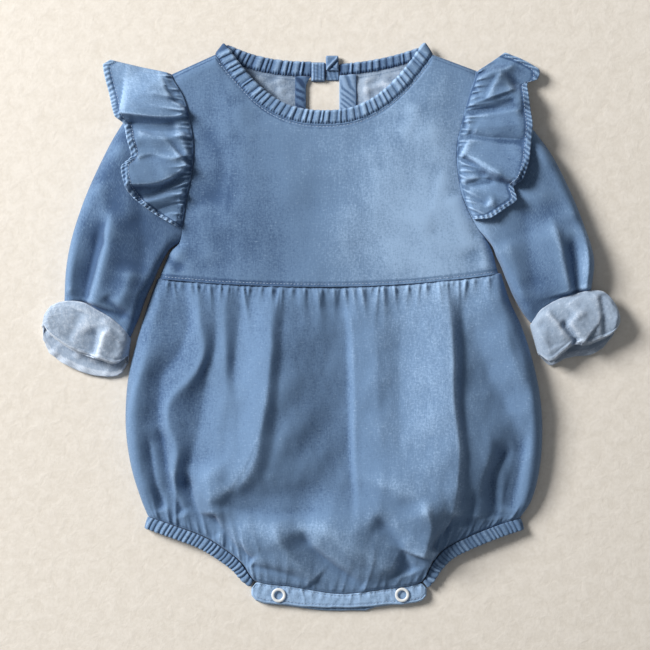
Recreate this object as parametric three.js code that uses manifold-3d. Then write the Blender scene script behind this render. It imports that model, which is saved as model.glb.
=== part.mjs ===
// A baby's bubble romper in light chambray, laid flat on its back: long sleeves with rolled cuffs, a gathered neck
// frill with a keyhole at the back, shoulder ruffles, a gathered skirt, elastic leg openings and a snap crotch.
// Millimetres. +X is the viewer's right, +Y runs from the crotch to the neck, +Z is up from the table.
import * as THREE from 'three';
import { mergeVertices } from 'three/addons/utils/BufferGeometryUtils.js';
import Module from 'manifold-3d';

const wasm = await Module();
wasm.setup();

// Driving sizes
const CLOTH = 1.3; // one layer of cloth, with its nap and small creases
const SEAM_GAP = 0.3; // between two pieces at a seam
const CURVED_SEAM_GAP = 0.5; // the same where one piece is faceted more finely than the other
const SEAM_HEIGHT = 4.3; // the side and shoulder seams above the table
const EDGE_ROUND = 9; // how far in from a side seam the cloth turns
const ARMHOLE_ROUND = 12; // the same along the armhole, from its two ends
const FRILL_HEIGHT = 10.6;
const BACK_FRILL_HEIGHT = { left: 11, right: 8.6 };
const FRILL_THICK = 2;
const FRILL_PLEAT = 4.9; // one pleat of the neck frill, along the neck
const FRILL_RAISE = 0.7;
const WAIST_GATHERS = 34;
const WAIST_GATHER_RAISE = 1.25;
const LEG_GATHERS = 9;
const LEG_GATHER_RAISE = 1.6;
const CASING_WIDTH = 9;
const CASING_NARROWED = 3.4; // what the casing loses at the crotch, where the bands take it in
const CASING_THICK = 2.2;
const CASING_RUCHES = 27;
const CASING_TUCK = 0.035; // the share of the leg seam that the casing's turn at the side takes up
const CASING_RAISE = 0.75;
const BAND_THICK = 2.2;
const CUFF_WALL = 2.6;
const SNAP = { ring: 5.3, hole: 3.2, thick: 0.9, sides: 16 };

// Colours of the cloth's right side, its wrong side, the binding cut from it and the snaps
const chambray = () => new THREE.MeshStandardMaterial({ color: 0x6485ad, roughness: 0.9, metalness: 0 });
const wrongSide = () => new THREE.MeshStandardMaterial({ color: 0x9db0c9, roughness: 0.95, metalness: 0 });
const binding = () => new THREE.MeshStandardMaterial({ color: 0x587aa3, roughness: 0.9, metalness: 0 });
const enamel = () => new THREE.MeshStandardMaterial({ color: 0xf1f3f2, roughness: 0.35, metalness: 0.1 });

// The waist seam dips in the middle, a little left of the centre front
const WAIST = { lowest: 29.5, at: -8, riseLeft: 0.00042, riseRight: 0.00056 };

// The neckline, front and back, runs between the two neck points
const NECK = { left: -85, right: 74, top: 201, frontDepth: 52, backDepthLeft: 18, backDepthRight: 13, power: 2.4 };
const SHOULDER = { leftX: -118, leftY: 186, rightX: 106, rightY: 189 };
const UNDERARM_UP = 0.17; // the underarm, as a share of the way up the bodice's side

// The bodice's side seams and armholes, from the waist to the shoulder points
const BODICE_SIDES = [
  { y: 28, left: -130, right: 126 },
  { y: 46, left: -123, right: 121 },
  { y: 55, left: -119, right: 118.5 },
  { y: 63, left: -111.5, right: 115 },
  { y: 73, left: -109.5, right: 107 },
  { y: 95, left: -106, right: 96.5 },
  { y: 115, left: -102, right: 92.5 },
  { y: 133, left: -101, right: 92 },
  { y: 148, left: -103, right: 95 },
  { y: 168, left: -108, right: 100.5 },
  { y: 187, left: -118, right: 106 },
  { y: 210, left: -118, right: 106 },
];

// The bodice's height over the table, at its edges and in the middle, up from the waist
const BODICE_HEIGHTS = [
  { up: 0, edge: 9, middle: 13 },
  { up: 0.35, edge: 9, middle: 12.5 },
  { up: 0.7, edge: 9, middle: 11.5 },
  { up: 1, edge: 8.5, middle: 9.5 },
];

// The skirt's side seams, as shares of the way down from the waist to the leg
const SKIRT_SIDES = [
  { down: 0, left: -128, right: 124.5 },
  { down: 0.11, left: -135, right: 131 },
  { down: 0.22, left: -141, right: 140 },
  { down: 0.37, left: -148, right: 148.5 },
  { down: 0.51, left: -151, right: 153.5 },
  { down: 0.65, left: -151, right: 155 },
  { down: 0.8, left: -147, right: 153 },
  { down: 0.93, left: -140, right: 147 },
  { down: 1, left: -135, right: 139 },
];

// The skirt's lower edge: leg, crotch, leg
const SKIRT_HEM = [
  { x: -135, y: -139 },
  { x: -115, y: -146 },
  { x: -94, y: -154 },
  { x: -80, y: -162.5 },
  { x: -67, y: -173 },
  { x: -57, y: -186 },
  { x: -30, y: -190.5 },
  { x: 6, y: -196 },
  { x: 35, y: -193 },
  { x: 67, y: -187 },
  { x: 74, y: -174 },
  { x: 84, y: -163 },
  { x: 101, y: -154 },
  { x: 122, y: -145.5 },
  { x: 139, y: -140 },
];
const CROTCH = { left: -57, right: 67 };

// The skirt's height over the table
const SKIRT_HEIGHTS = [
  { down: 0, edge: 9, middle: 13 },
  { down: 0.15, edge: 11.5, middle: 17 },
  { down: 0.4, edge: 14, middle: 22 },
  { down: 0.65, edge: 14, middle: 23.5 },
  { down: 0.85, edge: 12, middle: 18 },
  { down: 1, edge: 7.5, middle: 5.8 },
];

// The main folds of the front, each a soft ridge or, with a negative rise, a trough: its two ends and its bend in
// plan, its rise and how far it spreads to either side
const FOLDS = [
  { x0: -104, y0: 26, x1: -90, y1: -12, x2: -122, y2: -48, rise: 4, left: 7, right: 14 },
  { x0: -124, y0: -46, x1: -124, y1: -90, x2: -108, y2: -140, rise: 4.5, left: 5, right: 13 },
  { x0: -134, y0: -30, x1: -131, y1: -80, x2: -120, y2: -136, rise: -3, left: 8, right: 5 },
  { x0: -50, y0: 25, x1: -46, y1: -50, x2: -72, y2: -84, rise: 5, left: 18, right: 15 },
  { x0: -72, y0: -80, x1: -118, y1: -102, x2: -88, y2: -156, rise: 4.5, left: 6, right: 13 },
  { x0: -74, y0: -100, x1: -92, y1: -132, x2: -58, y2: -172, rise: 3, left: 9, right: 16 },
  { x0: 13, y0: 24, x1: 12, y1: -50, x2: 16, y2: -128, rise: -4.5, left: 22, right: 9 },
  { x0: 84, y0: 32, x1: 97, y1: -40, x2: 92, y2: -152, rise: 6, left: 26, right: 11 },
  { x0: 106, y0: 24, x1: 112, y1: -50, x2: 122, y2: -134, rise: -3.5, left: 13, right: 11 },
  { x0: 120, y0: 20, x1: 152, y1: -50, x2: 126, y2: -88, rise: 3, left: 9, right: 7 },
  { x0: 18, y0: -100, x1: 70, y1: -108, x2: 92, y2: -150, rise: 4, left: 9, right: 14 },
  { x0: -18, y0: -142, x1: -2, y1: -168, x2: 28, y2: -190, rise: 3, left: 8, right: 10 },
  { x0: -26, y0: -150, x1: -16, y1: -172, x2: 4, y2: -190, rise: -3, left: 8, right: 6 },
  { x0: 64, y0: -124, x1: 60, y1: -146, x2: 66, y2: -172, rise: -3.5, left: 10, right: 10 },
  { x0: -84, y0: 60, x1: -60, y1: 110, x2: -86, y2: 160, rise: 1.6, left: 12, right: 22 },
  { x0: 62, y0: 60, x1: 78, y1: 110, x2: 66, y2: 160, rise: 1.6, left: 22, right: 12 },
];

// Each sleeve fans from the armhole to the cuff: its outer and inner edge in plan, and its height. Its first section
// is the bodice's own armhole, and its last follows the cuff's top edge between the two shares in CUFF_MEETS
const LEFT_SLEEVE = [
  { along: 0, outX: -118, outY: 187, inX: -111.5, inY: 62, high: 9 },
  { along: 0.14, outX: -139, outY: 169, inX: -118, inY: 57.5, high: 11 },
  { along: 0.28, outX: -156, outY: 147, inX: -122.5, inY: 50.5, high: 12 },
  { along: 0.43, outX: -169, outY: 123, inX: -126.5, inY: 43, high: 13 },
  { along: 0.58, outX: -181, outY: 96, inX: -130.5, inY: 34, high: 13.5 },
  { along: 0.73, outX: -190.5, outY: 67, inX: -136, inY: 22, high: 13.5 },
  { along: 0.87, outX: -195, outY: 42, inX: -140.5, inY: 9, high: 13 },
  { along: 1, outX: -196, outY: 18, inX: -146.5, inY: -5, high: 11 },
];
const RIGHT_SLEEVE = [
  { along: 0, outX: 106, outY: 187, inX: 115, inY: 64, high: 9 },
  { along: 0.14, outX: 128, outY: 169, inX: 119.5, inY: 58, high: 11 },
  { along: 0.28, outX: 147, outY: 146, inX: 122, inY: 51, high: 12 },
  { along: 0.43, outX: 162, outY: 126, inX: 125.5, inY: 43, high: 13 },
  { along: 0.58, outX: 175, outY: 101, inX: 129, inY: 33, high: 13.5 },
  { along: 0.73, outX: 185.5, outY: 76, inX: 133, inY: 22, high: 13.5 },
  { along: 0.87, outX: 193.5, outY: 50, inX: 138.5, inY: 10, high: 13 },
  { along: 1, outX: 192, outY: 26, inX: 142.5, inY: 3, high: 11 },
];
const SLEEVE_FOLDS = [
  { x0: -157, y0: 96, x1: -160, y1: 60, x2: -177, y2: 14, rise: 4.5, left: 5, right: 13 },
  { x0: -184, y0: 70, x1: -182, y1: 44, x2: -180, y2: 14, rise: -2.5, left: 6, right: 4 },
  { x0: -146, y0: 46, x1: -150, y1: 28, x2: -160, y2: 8, rise: 3, left: 9, right: 9 },
  { x0: 160, y0: 74, x1: 168, y1: 50, x2: 174, y2: 24, rise: 4, left: 10, right: 5 },
  { x0: 176, y0: 62, x1: 178, y1: 40, x2: 181, y2: 24, rise: -2.5, left: 4, right: 4 },
  { x0: 184, y0: 80, x1: 190, y1: 52, x2: 189, y2: 28, rise: 2.5, left: 5, right: 6 },
];

// Each rolled cuff, from its outer end to its inner end: the top edge, the front roll's lower edge and the lower
// edge of the back layer, which shows below the roll
const LEFT_CUFF = [
  { across: 0, topX: -211.5, topY: 9, frontX: -212.5, frontY: 4, backX: -213.5, backY: 1.5 },
  { across: 0.15, topX: -205, topY: 15.5, frontX: -206.5, frontY: -4, backX: -212, backY: -8.5 },
  { across: 0.3, topX: -194.5, topY: 18.5, frontX: -197.5, frontY: -11, backX: -206, backY: -18.5 },
  { across: 0.45, topX: -182.5, topY: 17.5, frontX: -188, frontY: -16.5, backX: -194, backY: -26.5 },
  { across: 0.6, topX: -171, topY: 11.5, frontX: -178.5, frontY: -20, backX: -181, backY: -32 },
  { across: 0.75, topX: -161, topY: 5.5, frontX: -168.5, frontY: -23, backX: -168.5, backY: -34.5 },
  { across: 0.9, topX: -152, topY: -2.5, frontX: -157.5, frontY: -26, backX: -156, backY: -33.5 },
  { across: 1, topX: -147.5, topY: -9, frontX: -149.5, frontY: -21, backX: -149.5, backY: -26 },
];
const RIGHT_CUFF = [
  { across: 0, topX: 212.5, topY: 7.5, frontX: 212.5, frontY: 4, backX: 212, backY: 2.5 },
  { across: 0.15, topX: 208.5, topY: 16, frontX: 206, frontY: -4, backX: 205.5, backY: -8 },
  { across: 0.3, topX: 200.5, topY: 25, frontX: 197.5, frontY: -8, backX: 198.5, backY: -14.5 },
  { across: 0.45, topX: 189, topY: 26, frontX: 187.5, frontY: -11.5, backX: 190.5, backY: -18.5 },
  { across: 0.6, topX: 177, topY: 23, frontX: 178, frontY: -11.5, backX: 181, backY: -19.5 },
  { across: 0.75, topX: 164.5, topY: 19, frontX: 170, frontY: -17, backX: 171.5, backY: -21.5 },
  { across: 0.9, topX: 152.5, topY: 11, frontX: 160, frontY: -24.5, backX: 160.5, backY: -26.5 },
  { across: 1, topX: 146, topY: 1, frontX: 151.5, frontY: -19, backX: 152, backY: -20.5 },
];
const CUFF_FOLDS = [
  { x0: -169, y0: 4, x1: -174, y1: -8, x2: -176, y2: -20, rise: -2.5, left: 4, right: 3 },
  { x0: -162, y0: 2, x1: -164, y1: -10, x2: -170, y2: -24, rise: 1.6, left: 3, right: 7 },
  { x0: -190, y0: 12, x1: -188, y1: 0, x2: -194, y2: -12, rise: 1.5, left: 6, right: 8 },
  { x0: 160, y0: 12, x1: 168, y1: 4, x2: 176, y2: -12, rise: -3, left: 3, right: 3 },
  { x0: 172, y0: 16, x1: 180, y1: 2, x2: 188, y2: -10, rise: 1.8, left: 5, right: 8 },
  { x0: 199, y0: 22, x1: 200, y1: 8, x2: 202, y2: -4, rise: -1.8, left: 3, right: 4 },
];
const CUFF_HIGH = 15;

const CUFF_MEETS = { left: { outer: 0.27, inner: 0.99 }, right: { outer: 0.42, inner: 0.99 } };

// The shoulder ruffles: each row is a crest or a hollow, by its share of the way down the armhole seam, where it
// meets the outer edge, and its lift there
const LEFT_RUFFLE = [
  { along: 0, outX: -163, outY: 197, lift: -3 },
  { along: 0.03, outX: -168, outY: 193, lift: 3 },
  { along: 0.17, outX: -163, outY: 171, lift: 4.5 },
  { along: 0.31, outX: -158, outY: 154, lift: 6.5 },
  { along: 0.35, outX: -152, outY: 149, lift: 1 },
  { along: 0.43, outX: -149, outY: 137, lift: 4.5 },
  { along: 0.5, outX: -146, outY: 125, lift: 1 },
  { along: 0.57, outX: -153, outY: 117, lift: 5.5 },
  { along: 0.68, outX: -150, outY: 102, lift: 6.5 },
  { along: 0.73, outX: -145, outY: 95, lift: 1 },
  { along: 0.81, outX: -139, outY: 90, lift: 4.5 },
  { along: 0.88, outX: -131, outY: 84, lift: 1 },
  { along: 0.95, outX: -121, outY: 78, lift: 3 },
  { along: 1, outX: -114, outY: 74, lift: 0.5 },
];
const RIGHT_RUFFLE = [
  { along: 0, outX: 128, outY: 202, lift: -2 },
  { along: 0.04, outX: 140, outY: 197, lift: 5 },
  { along: 0.08, outX: 152.5, outY: 189.5, lift: 2 },
  { along: 0.12, outX: 151.5, outY: 182.5, lift: 1 },
  { along: 0.17, outX: 144, outY: 179.5, lift: 1.5 },
  { along: 0.24, outX: 144, outY: 170, lift: 5.5 },
  { along: 0.31, outX: 145.5, outY: 159, lift: 1.5 },
  { along: 0.39, outX: 146.5, outY: 148, lift: 4.5 },
  { along: 0.47, outX: 145.5, outY: 135, lift: 1 },
  { along: 0.56, outX: 143.5, outY: 121, lift: 5.5 },
  { along: 0.65, outX: 139, outY: 108, lift: 6.5 },
  { along: 0.7, outX: 133, outY: 103, lift: 1 },
  { along: 0.77, outX: 135, outY: 93, lift: 5 },
  { along: 0.84, outX: 127, outY: 87, lift: 1 },
  { along: 0.92, outX: 116, outY: 80, lift: 4 },
  { along: 1, outX: 104, outY: 79, lift: 0.5 },
];
const RUFFLE = {
  left: { top: 186, drop: 113 },
  right: { top: 187, drop: 106 },
  fromSeam: 0.6,
  seat: 0.35,
  clear: 0.6,
  slope: 0.55,
  reach: 7,
};

// The crotch bands, front over back, between the two legs: their top edge and their two lower edges
const CROTCH_BANDS = [
  { x: -59, top: -192.5, front: -196.5, back: -198 },
  { x: -56, top: -188.5, front: -201, back: -201.5 },
  { x: -50, top: -187.5, front: -203.5, back: -204 },
  { x: -30, top: -190.8, front: -205.5, back: -206.5 },
  { x: -5, top: -194.8, front: -207, back: -209 },
  { x: 6, top: -196.3, front: -207.3, back: -209.8 },
  { x: 25, top: -194.8, front: -206.3, back: -209.3 },
  { x: 33, top: -193.6, front: -205.5, back: -206.2 },
  { x: 52, top: -190.8, front: -204.5, back: -204.5 },
  { x: 62, top: -189, front: -203, back: -203 },
  { x: 67, top: -188.8, front: -201, back: -201 },
  { x: 70, top: -192.5, front: -197.5, back: -197.5 },
];
const SNAPS = [
  { side: 'left', x: -39, y: -197.5 },
  { side: 'right', x: 52, y: -197.2 },
];

// The keyhole in the back bodice, its facing, and the tab and loop that close the neck over it
const KEYHOLE = { left: -19, right: 6, top: 215, bottom: 134, facingLeft: 7.5, facingRight: 12, facingThick: 1 };
const CLOSURE = {
  tab: { left: -15, right: -4.5, low: 181.2, high: 195.5, thick: 3.4 },
  underlap: { left: -4.2, right: 5.7, low: 182, high: 194, thick: 1.6 },
  loop: { left: -4.2, right: 5.2, low: 189, high: 200.3, thick: 2.2 },
  rounding: 1.4,
};

// The value of one column of a table at a place along another, on a smooth curve through the rows
function column(table, by, at, name) {
  const last = table.length - 1;
  const rising = table[last][by] > table[0][by];
  let i = 0;
  while (i < last - 1 && (rising ? at > table[i + 1][by] : at < table[i + 1][by])) i++;
  const [a, b] = [table[i], table[i + 1]];
  const span = b[by] - a[by];
  const t = THREE.MathUtils.clamp((at - a[by]) / span, 0, 1);
  const slope = (j) => {
    const [p, q] = [table[Math.max(j - 1, 0)], table[Math.min(j + 1, last)]];
    return (q[name] - p[name]) / (q[by] - p[by]);
  };
  const [t2, t3] = [t * t, t * t * t];
  return (
    (2 * t3 - 3 * t2 + 1) * a[name] +
    (t3 - 2 * t2 + t) * span * slope(i) +
    (3 * t2 - 2 * t3) * b[name] +
    (t3 - t2) * span * slope(i + 1)
  );
}

// The same between two rows on a straight line, which keeps crests sharp
function straight(table, by, at, name) {
  let i = 0;
  while (i < table.length - 2 && at > table[i + 1][by]) i++;
  const t = THREE.MathUtils.clamp((at - table[i][by]) / (table[i + 1][by] - table[i][by]), 0, 1);
  return THREE.MathUtils.lerp(table[i][name], table[i + 1][name], t);
}

const mix = THREE.MathUtils.lerp;
const quarterRound = (share) => Math.sqrt(1 - (1 - THREE.MathUtils.clamp(share, 0, 1)) ** 2);
const even = (count, from = 0, to = 1) => Array.from({ length: count }, (_, i) => mix(from, to, i / (count - 1)));

// How high the folds stand at a point in plan
function foldAt(folds, x, y) {
  const pieces = 12;
  let sum = 0;
  for (const f of folds) {
    let nearest = Infinity;
    let [side, along] = [0, 0];
    let [px, py] = [f.x0, f.y0];
    for (let i = 1; i <= pieces; i++) {
      const t = i / pieces;
      const s = 1 - t;
      const qx = s * s * f.x0 + 2 * s * t * (2 * f.x1 - (f.x0 + f.x2) / 2) + t * t * f.x2;
      const qy = s * s * f.y0 + 2 * s * t * (2 * f.y1 - (f.y0 + f.y2) / 2) + t * t * f.y2;
      const [ex, ey] = [qx - px, qy - py];
      const share = THREE.MathUtils.clamp(((x - px) * ex + (y - py) * ey) / (ex * ex + ey * ey), 0, 1);
      const [dx, dy] = [x - px - share * ex, y - py - share * ey];
      const far = Math.hypot(dx, dy);
      if (far < nearest) {
        nearest = far;
        side = ex * dy - ey * dx;
        along = (i - 1 + share) / pieces;
      }
      [px, py] = [qx, qy];
    }
    const downward = f.y2 < f.y0 ? 1 : -1;
    const wide = side * downward < 0 ? f.left : f.right;
    sum += f.rise * Math.exp(-((nearest / wide) ** 2)) * Math.sin(Math.PI * mix(0.08, 0.92, along)) ** 0.7;
  }
  return sum;
}

// A closed mesh from two grids of points, the second lying inside the first; columns may run round in a ring
function wallBetween(outer, inner, ring = false) {
  const [rows, columns] = [outer.length, outer[0].length];
  const points = [...outer.flat(), ...inner.flat()];
  const id = (layer, r, c) => layer * rows * columns + r * columns + (c % columns);
  const faces = [];
  const quad = (a, b, c, d) => faces.push(a, b, c, a, c, d);
  const spans = ring ? columns : columns - 1;
  for (let r = 0; r < rows - 1; r++) {
    for (let c = 0; c < spans; c++) {
      quad(id(0, r, c), id(0, r, c + 1), id(0, r + 1, c + 1), id(0, r + 1, c));
      quad(id(1, r, c), id(1, r + 1, c), id(1, r + 1, c + 1), id(1, r, c + 1));
    }
  }
  for (let c = 0; c < spans; c++) {
    quad(id(0, 0, c), id(1, 0, c), id(1, 0, c + 1), id(0, 0, c + 1));
    quad(id(0, rows - 1, c), id(0, rows - 1, c + 1), id(1, rows - 1, c + 1), id(1, rows - 1, c));
  }
  if (!ring) {
    for (let r = 0; r < rows - 1; r++) {
      quad(id(0, r, 0), id(0, r + 1, 0), id(1, r + 1, 0), id(1, r, 0));
      quad(id(0, r, columns - 1), id(1, r, columns - 1), id(1, r + 1, columns - 1), id(0, r + 1, columns - 1));
    }
  }
  return facingOut(points, faces);
}

// A geometry from points and triangles, turned so that its faces point out
function facingOut(points, faces) {
  let volume = 0;
  const [a, b, c] = [new THREE.Vector3(), new THREE.Vector3(), new THREE.Vector3()];
  for (let i = 0; i < faces.length; i += 3) {
    a.fromArray(points[faces[i]]);
    b.fromArray(points[faces[i + 1]]);
    c.fromArray(points[faces[i + 2]]);
    volume += a.dot(b.cross(c));
  }
  if (volume < 0) faces.reverse();
  return new THREE.BufferGeometry()
    .setAttribute('position', new THREE.BufferAttribute(new Float32Array(points.flat()), 3))
    .setIndex(faces);
}

// The direction that a surface faces at (u, v), by small steps on it
function facing(place, u, v, sign) {
  const step = 0.002;
  const at = (s, t) => new THREE.Vector3(...place(THREE.MathUtils.clamp(s, 0, 1), THREE.MathUtils.clamp(t, 0, 1)));
  const across = at(u + step, v).sub(at(u - step, v));
  const along = at(u, v + step).sub(at(u, v - step));
  return across.cross(along).normalize().multiplyScalar(sign);
}

// A panel of cloth: its outer face follows place, moved out by raise, and its wall goes in from there
function panel({ us, vs, place, sign, raise = () => 0, square = (n) => n, wall = CLOTH }) {
  const outer = [];
  const inner = [];
  for (const v of vs) {
    const [outerRow, innerRow] = [[], []];
    for (const u of us) {
      const base = new THREE.Vector3(...place(u, v));
      const normal = square(facing(place, u, v, sign), u, v).normalize();
      const out = base.addScaledVector(normal, raise(u, v, base));
      outerRow.push(out.toArray());
      innerRow.push(out.clone().addScaledVector(normal, -wall).toArray());
    }
    outer.push(outerRow);
    inner.push(innerRow);
  }
  return wallBetween(outer, inner);
}

// A band swept along stations, each a closed ring of points
function sweep(rings) {
  const size = rings[0].length;
  const points = rings.flat();
  const faces = [];
  for (let r = 0; r < rings.length - 1; r++) {
    for (let k = 0; k < size; k++) {
      const [a, b] = [r * size + k, r * size + ((k + 1) % size)];
      faces.push(a, b, b + size, a, b + size, a + size);
    }
  }
  const end = (rings.length - 1) * size;
  for (let k = 1; k < size - 1; k++) faces.push(0, k + 1, k, end, end + k, end + k + 1);
  return facingOut(points, faces);
}

const pieces = [];
function add(name, geometry, material) {
  geometry.computeVertexNormals();
  const mesh = new THREE.Mesh(geometry, material);
  mesh.name = name;
  pieces.push(mesh);
}

// The bodice, front and back, as one map of the cloth: u from left to right, v from the waist to the top edge
function waistY(x) {
  const off = x - WAIST.at;
  return WAIST.lowest + (off < 0 ? WAIST.riseLeft : WAIST.riseRight) * off * off;
}

function necklineY(x, front) {
  const half = (NECK.right - NECK.left) / 2;
  const off = (x - (NECK.left + NECK.right) / 2) / half;
  const depth = front ? NECK.frontDepth : mix(NECK.backDepthLeft, NECK.backDepthRight, (off + 1) / 2);
  return NECK.top - depth * (1 - Math.min(Math.abs(off), 1) ** NECK.power);
}

function bodiceTopY(x, front) {
  if (x < NECK.left) return mix(SHOULDER.leftY, NECK.top, (x - SHOULDER.leftX) / (NECK.left - SHOULDER.leftX));
  if (x > NECK.right) return mix(NECK.top, SHOULDER.rightY, (x - NECK.right) / (SHOULDER.rightX - NECK.right));
  return necklineY(x, front);
}

const neckU = (x) => (x - SHOULDER.leftX) / (SHOULDER.rightX - SHOULDER.leftX);
const bodiceX = (u, y) => mix(column(BODICE_SIDES, 'y', y, 'left'), column(BODICE_SIDES, 'y', y, 'right'), u);

// A point of the bodice in plan
function bodicePlan(u, v, front) {
  let [low, high] = [WAIST.lowest, NECK.top];
  const rounds = 12;
  for (let i = 0; i < rounds; i++) {
    low = waistY(bodiceX(u, low));
    high = bodiceTopY(bodiceX(u, high), front);
  }
  const y = mix(low + SEAM_GAP / 2, high, v);
  return [bodiceX(u, y), y, high];
}

const underarmY = { left: bodicePlan(0, UNDERARM_UP, true)[1], right: bodicePlan(1, UNDERARM_UP, true)[1] };

// How far the cloth has come round from a closed edge: 0 on the seam, 1 on the flat
function bodiceTurn(u, x, y, high) {
  const left = u < 0.5;
  const fromSide = left ? x - bodiceX(0, y) : bodiceX(1, y) - x;
  const top = left ? SHOULDER.leftY : SHOULDER.rightY;
  const armhole = quarterRound(Math.min(y - underarmY[left ? 'left' : 'right'], top - y) / ARMHOLE_ROUND);
  const side = armhole + (1 - armhole) * quarterRound(fromSide / EDGE_ROUND);
  const fromNeck = Math.min(x - NECK.left, NECK.right - x);
  const open = quarterRound(fromNeck / 30);
  const shoulder = open + (1 - open) * quarterRound((high - y) / EDGE_ROUND);
  return side * shoulder;
}

function bodicePlace(front) {
  return (u, v) => {
    const [x, y, high] = bodicePlan(u, v, front);
    const turn = bodiceTurn(u, x, y, high);
    if (!front) return [x, y, (SEAM_HEIGHT - SEAM_GAP / 2) * (1 - turn)];
    const edge = column(BODICE_HEIGHTS, 'up', v, 'edge');
    const middle = column(BODICE_HEIGHTS, 'up', v, 'middle');
    const dome = 1 - Math.abs(2 * u - 1) ** 2.2;
    const foot = SEAM_HEIGHT + SEAM_GAP / 2;
    return [x, y, foot + (edge - foot + (middle - edge) * dome) * turn];
  };
}

// Rims stand square to their seams
function bodiceSquare(front) {
  return (n, u, v) => {
    const [x] = bodicePlan(u, v, front);
    const shoulderEnd = v === 1 && (x <= NECK.left || x >= NECK.right);
    if (u === 0 && v <= UNDERARM_UP) n.set(-1, 0, 0);
    else if (u === 1 && v <= UNDERARM_UP) n.set(1, 0, 0);
    else if (shoulderEnd) n.set(u === 0 ? -1 : u === 1 ? 1 : 0, 1, 0);
    else if (v === 0 || v === 1) n.y = 0;
    if (u === 0) n.x = Math.min(n.x, 0);
    if (u === 1) n.x = Math.max(n.x, 0);
    return n;
  };
}

const SHOULDER_US = [0, 0.008, 0.022, 0.045, 0.095];
const bodiceUs = (count) => [
  ...SHOULDER_US,
  ...even(count, neckU(NECK.left), neckU(NECK.right)),
  ...SHOULDER_US.map((u) => 1 - u).reverse(),
];
const armholeVs = [UNDERARM_UP, 0.185, 0.22, 0.29, 0.38, 0.49, 0.6, 0.71, 0.81, 0.89, 0.95, 0.985, 1];
const bodiceVs = [0, 0.06, 0.12, ...armholeVs];

function fadeIn(u, v) {
  return quarterRound(Math.min(u, 1 - u) / 0.06) * quarterRound(Math.min(v, 1 - v) / 0.08);
}

add(
  'bodice_front',
  panel({
    us: bodiceUs(19),
    vs: bodiceVs,
    place: bodicePlace(true),
    sign: 1,
    square: bodiceSquare(true),
    raise: (u, v, p) => foldAt(FOLDS, p.x, p.y) * fadeIn(u, v),
  }),
  chambray(),
);

// A solid of manifold-3d from a geometry, and back
function solidOf(geometry) {
  const bare = geometry.clone();
  bare.deleteAttribute('normal');
  bare.deleteAttribute('uv');
  const merged = mergeVertices(bare, 1e-4);
  return new wasm.Manifold(
    new wasm.Mesh({
      numProp: 3,
      vertProperties: merged.attributes.position.array,
      triVerts: new Uint32Array(merged.index.array),
    }),
  );
}

function geometryOf(solid) {
  const mesh = solid.getMesh();
  return new THREE.BufferGeometry()
    .setAttribute('position', new THREE.BufferAttribute(mesh.vertProperties, 3))
    .setIndex(new THREE.BufferAttribute(mesh.triVerts, 1));
}

// The keyhole's outline, grown by a margin to either side
function keyholeShape(marginLeft, marginRight, marginLow, top) {
  const [left, right] = [KEYHOLE.left - marginLeft, KEYHOLE.right + marginRight];
  const radius = (right - left) / 2;
  const shape = new THREE.Shape();
  shape.moveTo(left, top);
  shape.lineTo(left, KEYHOLE.bottom - marginLow + radius);
  shape.absarc((left + right) / 2, KEYHOLE.bottom - marginLow + radius, radius, Math.PI, 2 * Math.PI);
  shape.lineTo(right, top);
  return shape;
}

const upright = (shape, low, high) =>
  new THREE.ExtrudeGeometry(shape, { depth: high - low, bevelEnabled: false, curveSegments: 8 }).translate(0, 0, low);

const backBodice = panel({
  us: bodiceUs(15),
  vs: bodiceVs,
  place: bodicePlace(false),
  sign: -1,
  square: bodiceSquare(false),
});
const keyhole = solidOf(upright(keyholeShape(0, 0, 0, KEYHOLE.top), -5, 20));
add('bodice_back', geometryOf(solidOf(backBodice).subtract(keyhole)), wrongSide());

const facingTop = necklineY(KEYHOLE.right, false) - 6;
const facingLow = CLOTH + SEAM_GAP;
const facingOutline = keyholeShape(KEYHOLE.facingLeft, KEYHOLE.facingRight, KEYHOLE.facingLeft, facingTop);
add(
  'keyhole_facing',
  geometryOf(solidOf(upright(facingOutline, facingLow, facingLow + KEYHOLE.facingThick)).subtract(keyhole)),
  binding(),
);

// The skirt, front and back: u from left to right, v from the waist to the lower edge
function skirtPlan(u, v) {
  const left = column(SKIRT_SIDES, 'down', v, 'left');
  const right = column(SKIRT_SIDES, 'down', v, 'right');
  const topX = mix(SKIRT_SIDES[0].left, SKIRT_SIDES[0].right, u);
  const hemX = mix(SKIRT_HEM[0].x, SKIRT_HEM[SKIRT_HEM.length - 1].x, u);
  const y = mix(waistY(topX) - SEAM_GAP / 2, column(SKIRT_HEM, 'x', hemX, 'y'), v);
  return [mix(left, right, u), y];
}

function skirtPlace(front) {
  return (u, v) => {
    const [x, y] = skirtPlan(u, v);
    const fromSide = Math.min(x - skirtPlan(0, v)[0], skirtPlan(1, v)[0] - x);
    const turn = quarterRound(fromSide / EDGE_ROUND);
    if (!front) return [x, y, (SEAM_HEIGHT - SEAM_GAP / 2) * (1 - turn)];
    const edge = column(SKIRT_HEIGHTS, 'down', v, 'edge');
    const middle = column(SKIRT_HEIGHTS, 'down', v, 'middle');
    const dome = 1 - Math.abs(2 * u - 1) ** 2.4;
    const foot = SEAM_HEIGHT + SEAM_GAP / 2;
    return [x, y, foot + (edge - foot + (middle - edge) * dome) * turn];
  };
}

function skirtSquare(n, u, v) {
  if (u === 0) n.set(-1, 0, 0);
  else if (u === 1) n.set(1, 0, 0);
  else if (v === 0 || v === 1) n.y = 0;
  return n;
}

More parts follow.
